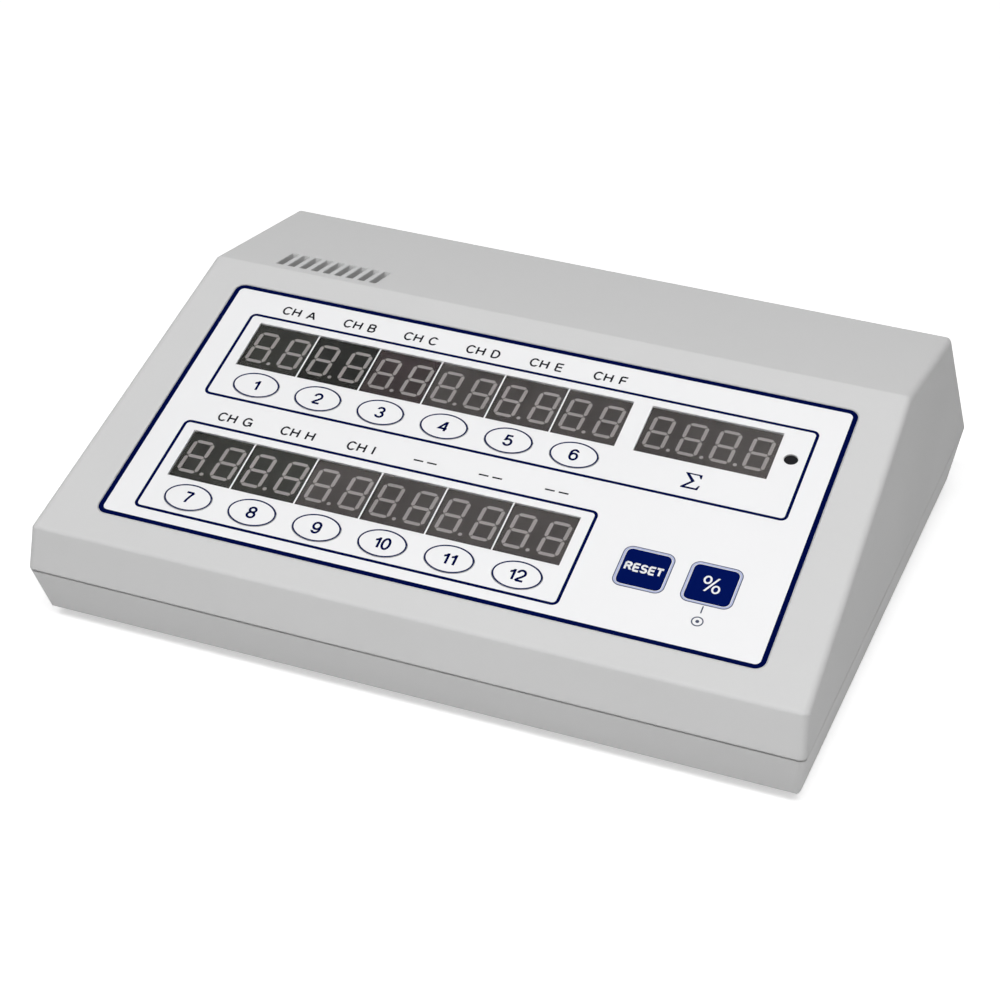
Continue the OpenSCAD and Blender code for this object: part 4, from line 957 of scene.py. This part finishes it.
class CounterRear(Operator):
    """Finishes the connectors, the power switch and the small metal parts"""

    bl_idname = "counter.rear"
    bl_label = "Rear bay and metal"

    # edge is the radius of the softened edges and of the painted highlight along them
    BLACK = dict(grain=2600, bump=0.00001, rough=(0.3, 0.45), depth=0.15, edge=0.0002)
    ROCKER = dict(grain=4000, bump=0.000004, rough=(0.2, 0.3), depth=0.1, edge=0.0003)
    FASTENERS = "inlet_screws port_posts case_screws board_screws power_board_screws"

    def execute(self, context):
        sizes, _, colours, _ = settings()
        dress_all(
            (moulded, "black plastic", colours.black, self.BLACK, "inlet_body switch_frame"),
            (moulded, "rocker plastic", colours.black, self.ROCKER, "switch_rocker"),
            (metal, "zinc plate", "#b4b6ba", {}, self.FASTENERS),
            (metal, "tinned steel", "#a9acb2", {"lines": 1.0}, "data_port"),
            (metal, "brass", "#c9ab66", {}, "inlet_pins fuse_clips"),
        )
        self.marks(sizes)
        return {"FINISHED"}

    def marks(self, sizes):
        """A stroke on the rocker's right half and a ring on its left half, as seen from behind."""
        white = printed("switch mark", ink("#e6e6e4"))
        halves = flat_faces("switch_rocker", Vector((0, 1, 0)), 2)
        halves.sort(key=lambda place: place[0][0])
        reach = sizes.switch_mark_h / 2
        level = (0, sizes.ink_t)
        stroke = ribbon([(0, -reach), (0, reach)], sizes.switch_mark_w, *level)
        ring = loop_band(*oval((0, 0), 2 * reach, 2 * reach, 40), sizes.switch_mark_w, *level)
        for name, shape, place in zip(("on", "off"), (stroke, ring), halves):
            laid = on_face(shape, place)
            add_piece(f"rocker_{name}_mark", laid, white, "rocker", local=False)


class CounterUnderside(Operator):
    """Builds the rubber feet and finishes the bare label"""

    bl_idname = "counter.underside"
    bl_label = "Underside"

    FOIL = dict(lines=1.0, rough=(0.35, 0.5), depth=0.05)

    def execute(self, context):
        sizes, _, colours, _ = settings()
        rubber = moulded("rubber", colours.rubber, **RUBBER_FINISH)
        dress(rubber, "rubber_feet")
        self.feet(sizes, rubber)
        dress(metal("label foil", ink("#d8d9db"), **self.FOIL), "rating_label")
        return {"FINISHED"}

    def feet(self, sizes, rubber):
        """Round feet with a turned edge and a shallow dish underneath, one over each CAD foot."""
        points = node_points("rubber_feet")
        turned = sizes.foot_edge * (compass(np.linspace(-math.pi / 2, 0, 8)) + (-1, 1))
        shapes = []
        for x, y in ((-1, -1), (-1, 1), (1, -1), (1, 1)):
            foot = points[(points[:, 0] * x > 0) & (points[:, 1] * y > 0)]
            low, high = foot.min(0), foot.max(0)
            radius, dish_top = (high[0] - low[0]) / 2, low[2] + sizes.foot_rise
            dish = [[sizes.foot_dish - sizes.foot_rise, dish_top], [sizes.foot_dish, low[2]]]
            profile = np.concatenate([dish, turned + (radius, low[2]), [[radius, high[2]]]])
            shapes.append(lathe(profile, (low + high) / 2))
        feet = add_piece("feet", joined(shapes), rubber, local=False, smooth=40)
        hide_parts("rubber_feet")


class CounterInside(Operator):
    """Finishes the boards and parts inside the case"""

    bl_idname = "counter.inside"
    bl_label = "Inside"

    MASK = dict(grain=900, bump=0.000008, rough=(0.25, 0.4), depth=0.25, edge=0)
    LAMINATE = dict(grain=1400, bump=0.00001, rough=(0.4, 0.6), depth=0.2, edge=0)
    CHIP = dict(grain=3600, bump=0.00001, rough=(0.5, 0.65), depth=0.2, edge=0)
    RIBBON = dict(grain=1200, bump=0.00003, depth=0.12, edge=0)
    TAPE = dict(grain=700, bump=0.00003, rough=(0.3, 0.45), depth=0.2, edge=0)
    SLEEVE = dict(grain=2000, bump=0.000005, rough=(0.15, 0.3), depth=0.2, edge=0)
    # edge is the radius of the softened edges and of the painted highlight along them
    TERMINAL = dict(depth=0.15, edge=0.0002)
    LEAD = dict(rough=(0.35, 0.5), depth=0.15, edge=0)
    CHIPS = "push_switches buzzer controller_chip driver_chips rectifier voltage_regulator"

    def execute(self, context):
        core = dict(lines=1.0, rough=(0.4, 0.6))
        dress_all(
            (moulded, "mask green", "#2c6a3c", self.MASK, "main_board"),
            (moulded, "laminate", "#b08a44", self.LAMINATE, "power_board"),
            (moulded, "chip housing", "#202023", self.CHIP, self.CHIPS),
            (moulded, "ribbon sleeve", "#9b9fa5", self.RIBBON, "ribbon_cable"),
            (metal, "core steel", "#74787e", core, "transformer_core"),
            (moulded, "coil tape", "#c7a02c", self.TAPE, "transformer_coil"),
            (moulded, "capacitor sleeve", "#1c2d63", self.SLEEVE, "smoothing_capacitor"),
            (metal, "extruded aluminium", "#a4a7ab", {"lines": 1.0}, "heat_sink"),
            (moulded, "terminal plastic", "#2d7a4d", self.TERMINAL, "terminal_block"),
            (moulded, "lead sleeve", "#7b2c26", self.LEAD, "mains_leads"),
        )
        dress(clear("fuse glass", (0.9, 0.95, 0.95), 900.0, (0.02, 0.12)), "fuse")
        return {"FINISHED"}


class CounterStage(Operator):
    """Sets the floor, the lamps, the world and the camera"""

    bl_idname = "counter.stage"
    bl_label = "Studio"

    # Each lamp's side and place, and the point that all face
    LAMPS = {"right": (0.4, (0.26, -0.47, 0.68)), "top": (0.8, (0.15, 0.2, 1.1)),
             "front": (0.5, (-0.37, -0.84, 1.17))}
    LAMP_AIM = (0, 0, 0.03)
    # The floor: half its side, points along a side, how far it lies below the feet, its tone
    FLOOR_HALF, FLOOR_ROWS, FLOOR_DOWN, FLOOR_TONE = 3, 5, 0.00005, (0.8, 0.82)
    # Its glow beside the object, and the distances over which that rises to 1
    FLOOR_GLOW, GLOW_FROM, GLOW_TO = 0.52, 0.35, 1.2
    # The camera's frame in millimetres, and the nearest distance that it shows
    FRAME_WIDTH, NEAREST = 36, 0.01

    def execute(self, context):
        studio = settings()[3]
        scene = context.scene
        scene.view_settings.view_transform = "Standard"
        self.floor()
        self.world(scene, studio)
        for name, (side, spot) in self.LAMPS.items():
            self.lamp(f"{name}_lamp", getattr(studio, name), side, Vector(spot))
        self.camera(scene, studio)
        return {"FINISHED"}

    def floor(self):
        """A wide flat sheet, white except where the object shades it. Its glow rises with the
        distance from the object, as the lamps' light falls off."""
        rows = self.FLOOR_ROWS
        side = np.linspace(-self.FLOOR_HALF, self.FLOOR_HALF, rows)
        x, y = np.meshgrid(side, side, indexing="ij")
        points = np.stack([x, y, np.full_like(x, -self.FLOOR_DOWN)], -1).reshape(-1, 3)
        index = np.arange(rows * rows).reshape(rows, rows)
        quads = np.stack([index[:-1, :-1], index[1:, :-1], index[1:, 1:], index[:-1, 1:]], -1)
        made, tree, shader = new_material("floor paper", Roughness=0.9, Specular_IOR_Level=0.0)
        place = object_place(tree)
        away = add_node(tree, "VectorMath", operation="LENGTH", i0=place).outputs["Value"]
        lift = spread(tree, away, self.FLOOR_GLOW, 1.0, self.GLOW_FROM, self.GLOW_TO)
        feed(
            shader, Base_Color=spread(tree, noise(tree, place, 9.0), *self.FLOOR_TONE),
            Emission_Color=(1, 1, 1, 1),
            Emission_Strength=math_node(tree, "MULTIPLY", seen_rays(tree), lift),
        )
        add_mesh("studio_floor", points, quads.reshape(-1, 4).tolist(), made)

    def world(self, scene, studio):
        """White where the surroundings are seen, and elsewhere the even light, which is set to
        nothing here."""
        world = bpy.data.worlds.new("studio")
        scene.world = world
        world.use_nodes = True
        tree = world.node_tree
        level = spread(tree, seen_rays(tree), studio.sky, 1.0)
        feed(tree.nodes["Background"], Color=(1, 1, 1, 1), Strength=level)

    def lamp(self, name, power, side, spot):
        """A square lamp that faces the object's middle."""
        light = bpy.data.lights.new(name, "AREA")
        light.energy = power
        light.size = side
        lamp = add_object(name, light)
        lamp.location = spot
        lamp.rotation_euler = (Vector(self.LAMP_AIM) - spot).to_track_quat("-Z", "Y").to_euler()

    def camera(self, scene, studio):
        """A camera turned about the aim point, looking down, and rolled about its own axis."""
        data = bpy.data.cameras.new("camera")
        data.lens = studio.lens
        data.sensor_width = self.FRAME_WIDTH
        data.clip_start = self.NEAREST
        camera = add_object("camera", data)
        look = Euler((math.pi / 2 - studio.height, 0, studio.turn)).to_matrix()
        look = look @ Matrix.Rotation(studio.roll, 3, "Z")
        place = Vector(studio.aim) + look @ Vector((0, 0, studio.distance))
        camera.matrix_world = Matrix.Translation(place) @ look.to_4x4()
        scene.camera = camera


class CounterPanel(Panel):
    """Lists the operators, sizes and colours"""

    bl_idname = "VIEW3D_PT_counter"
    bl_label = "Cell Counter"
    bl_space_type = "VIEW_3D"
    bl_region_type = "UI"
    bl_category = "Cell Counter"

    def draw(self, context):
        for operator in OPERATORS:
            self.layout.operator(operator.bl_idname)
        for name, group in GROUPS.items():
            box = self.layout.box()
            for label in group.__annotations__:
                box.prop(getattr(context.scene, name), label)


GROUPS = {
    "counter_print": CounterPrint,
    "counter_digits": CounterDigits,
    "counter_colours": CounterColours,
    "counter_studio": CounterStudio,
}
OPERATORS = [
    CounterStage, CounterShells, CounterFilm, CounterKeys, CounterDisplays, CounterRear,
    CounterUnderside, CounterInside,
]
TOOLS = [*GROUPS.values(), *OPERATORS, CounterPanel]


def register():
    for tool in TOOLS:
        bpy.utils.register_class(tool)
    for name, group in GROUPS.items():
        setattr(bpy.types.Scene, name, PointerProperty(type=group))


def unregister():
    for name in GROUPS:
        delattr(bpy.types.Scene, name)
    for tool in reversed(TOOLS):
        bpy.utils.unregister_class(tool)


def main():
    """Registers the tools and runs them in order."""
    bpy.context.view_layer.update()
    register()
    for operator in OPERATORS:
        group, name = operator.bl_idname.split(".")
        getattr(getattr(bpy.ops, group), name)()


if __name__ == "__main__":
    main()
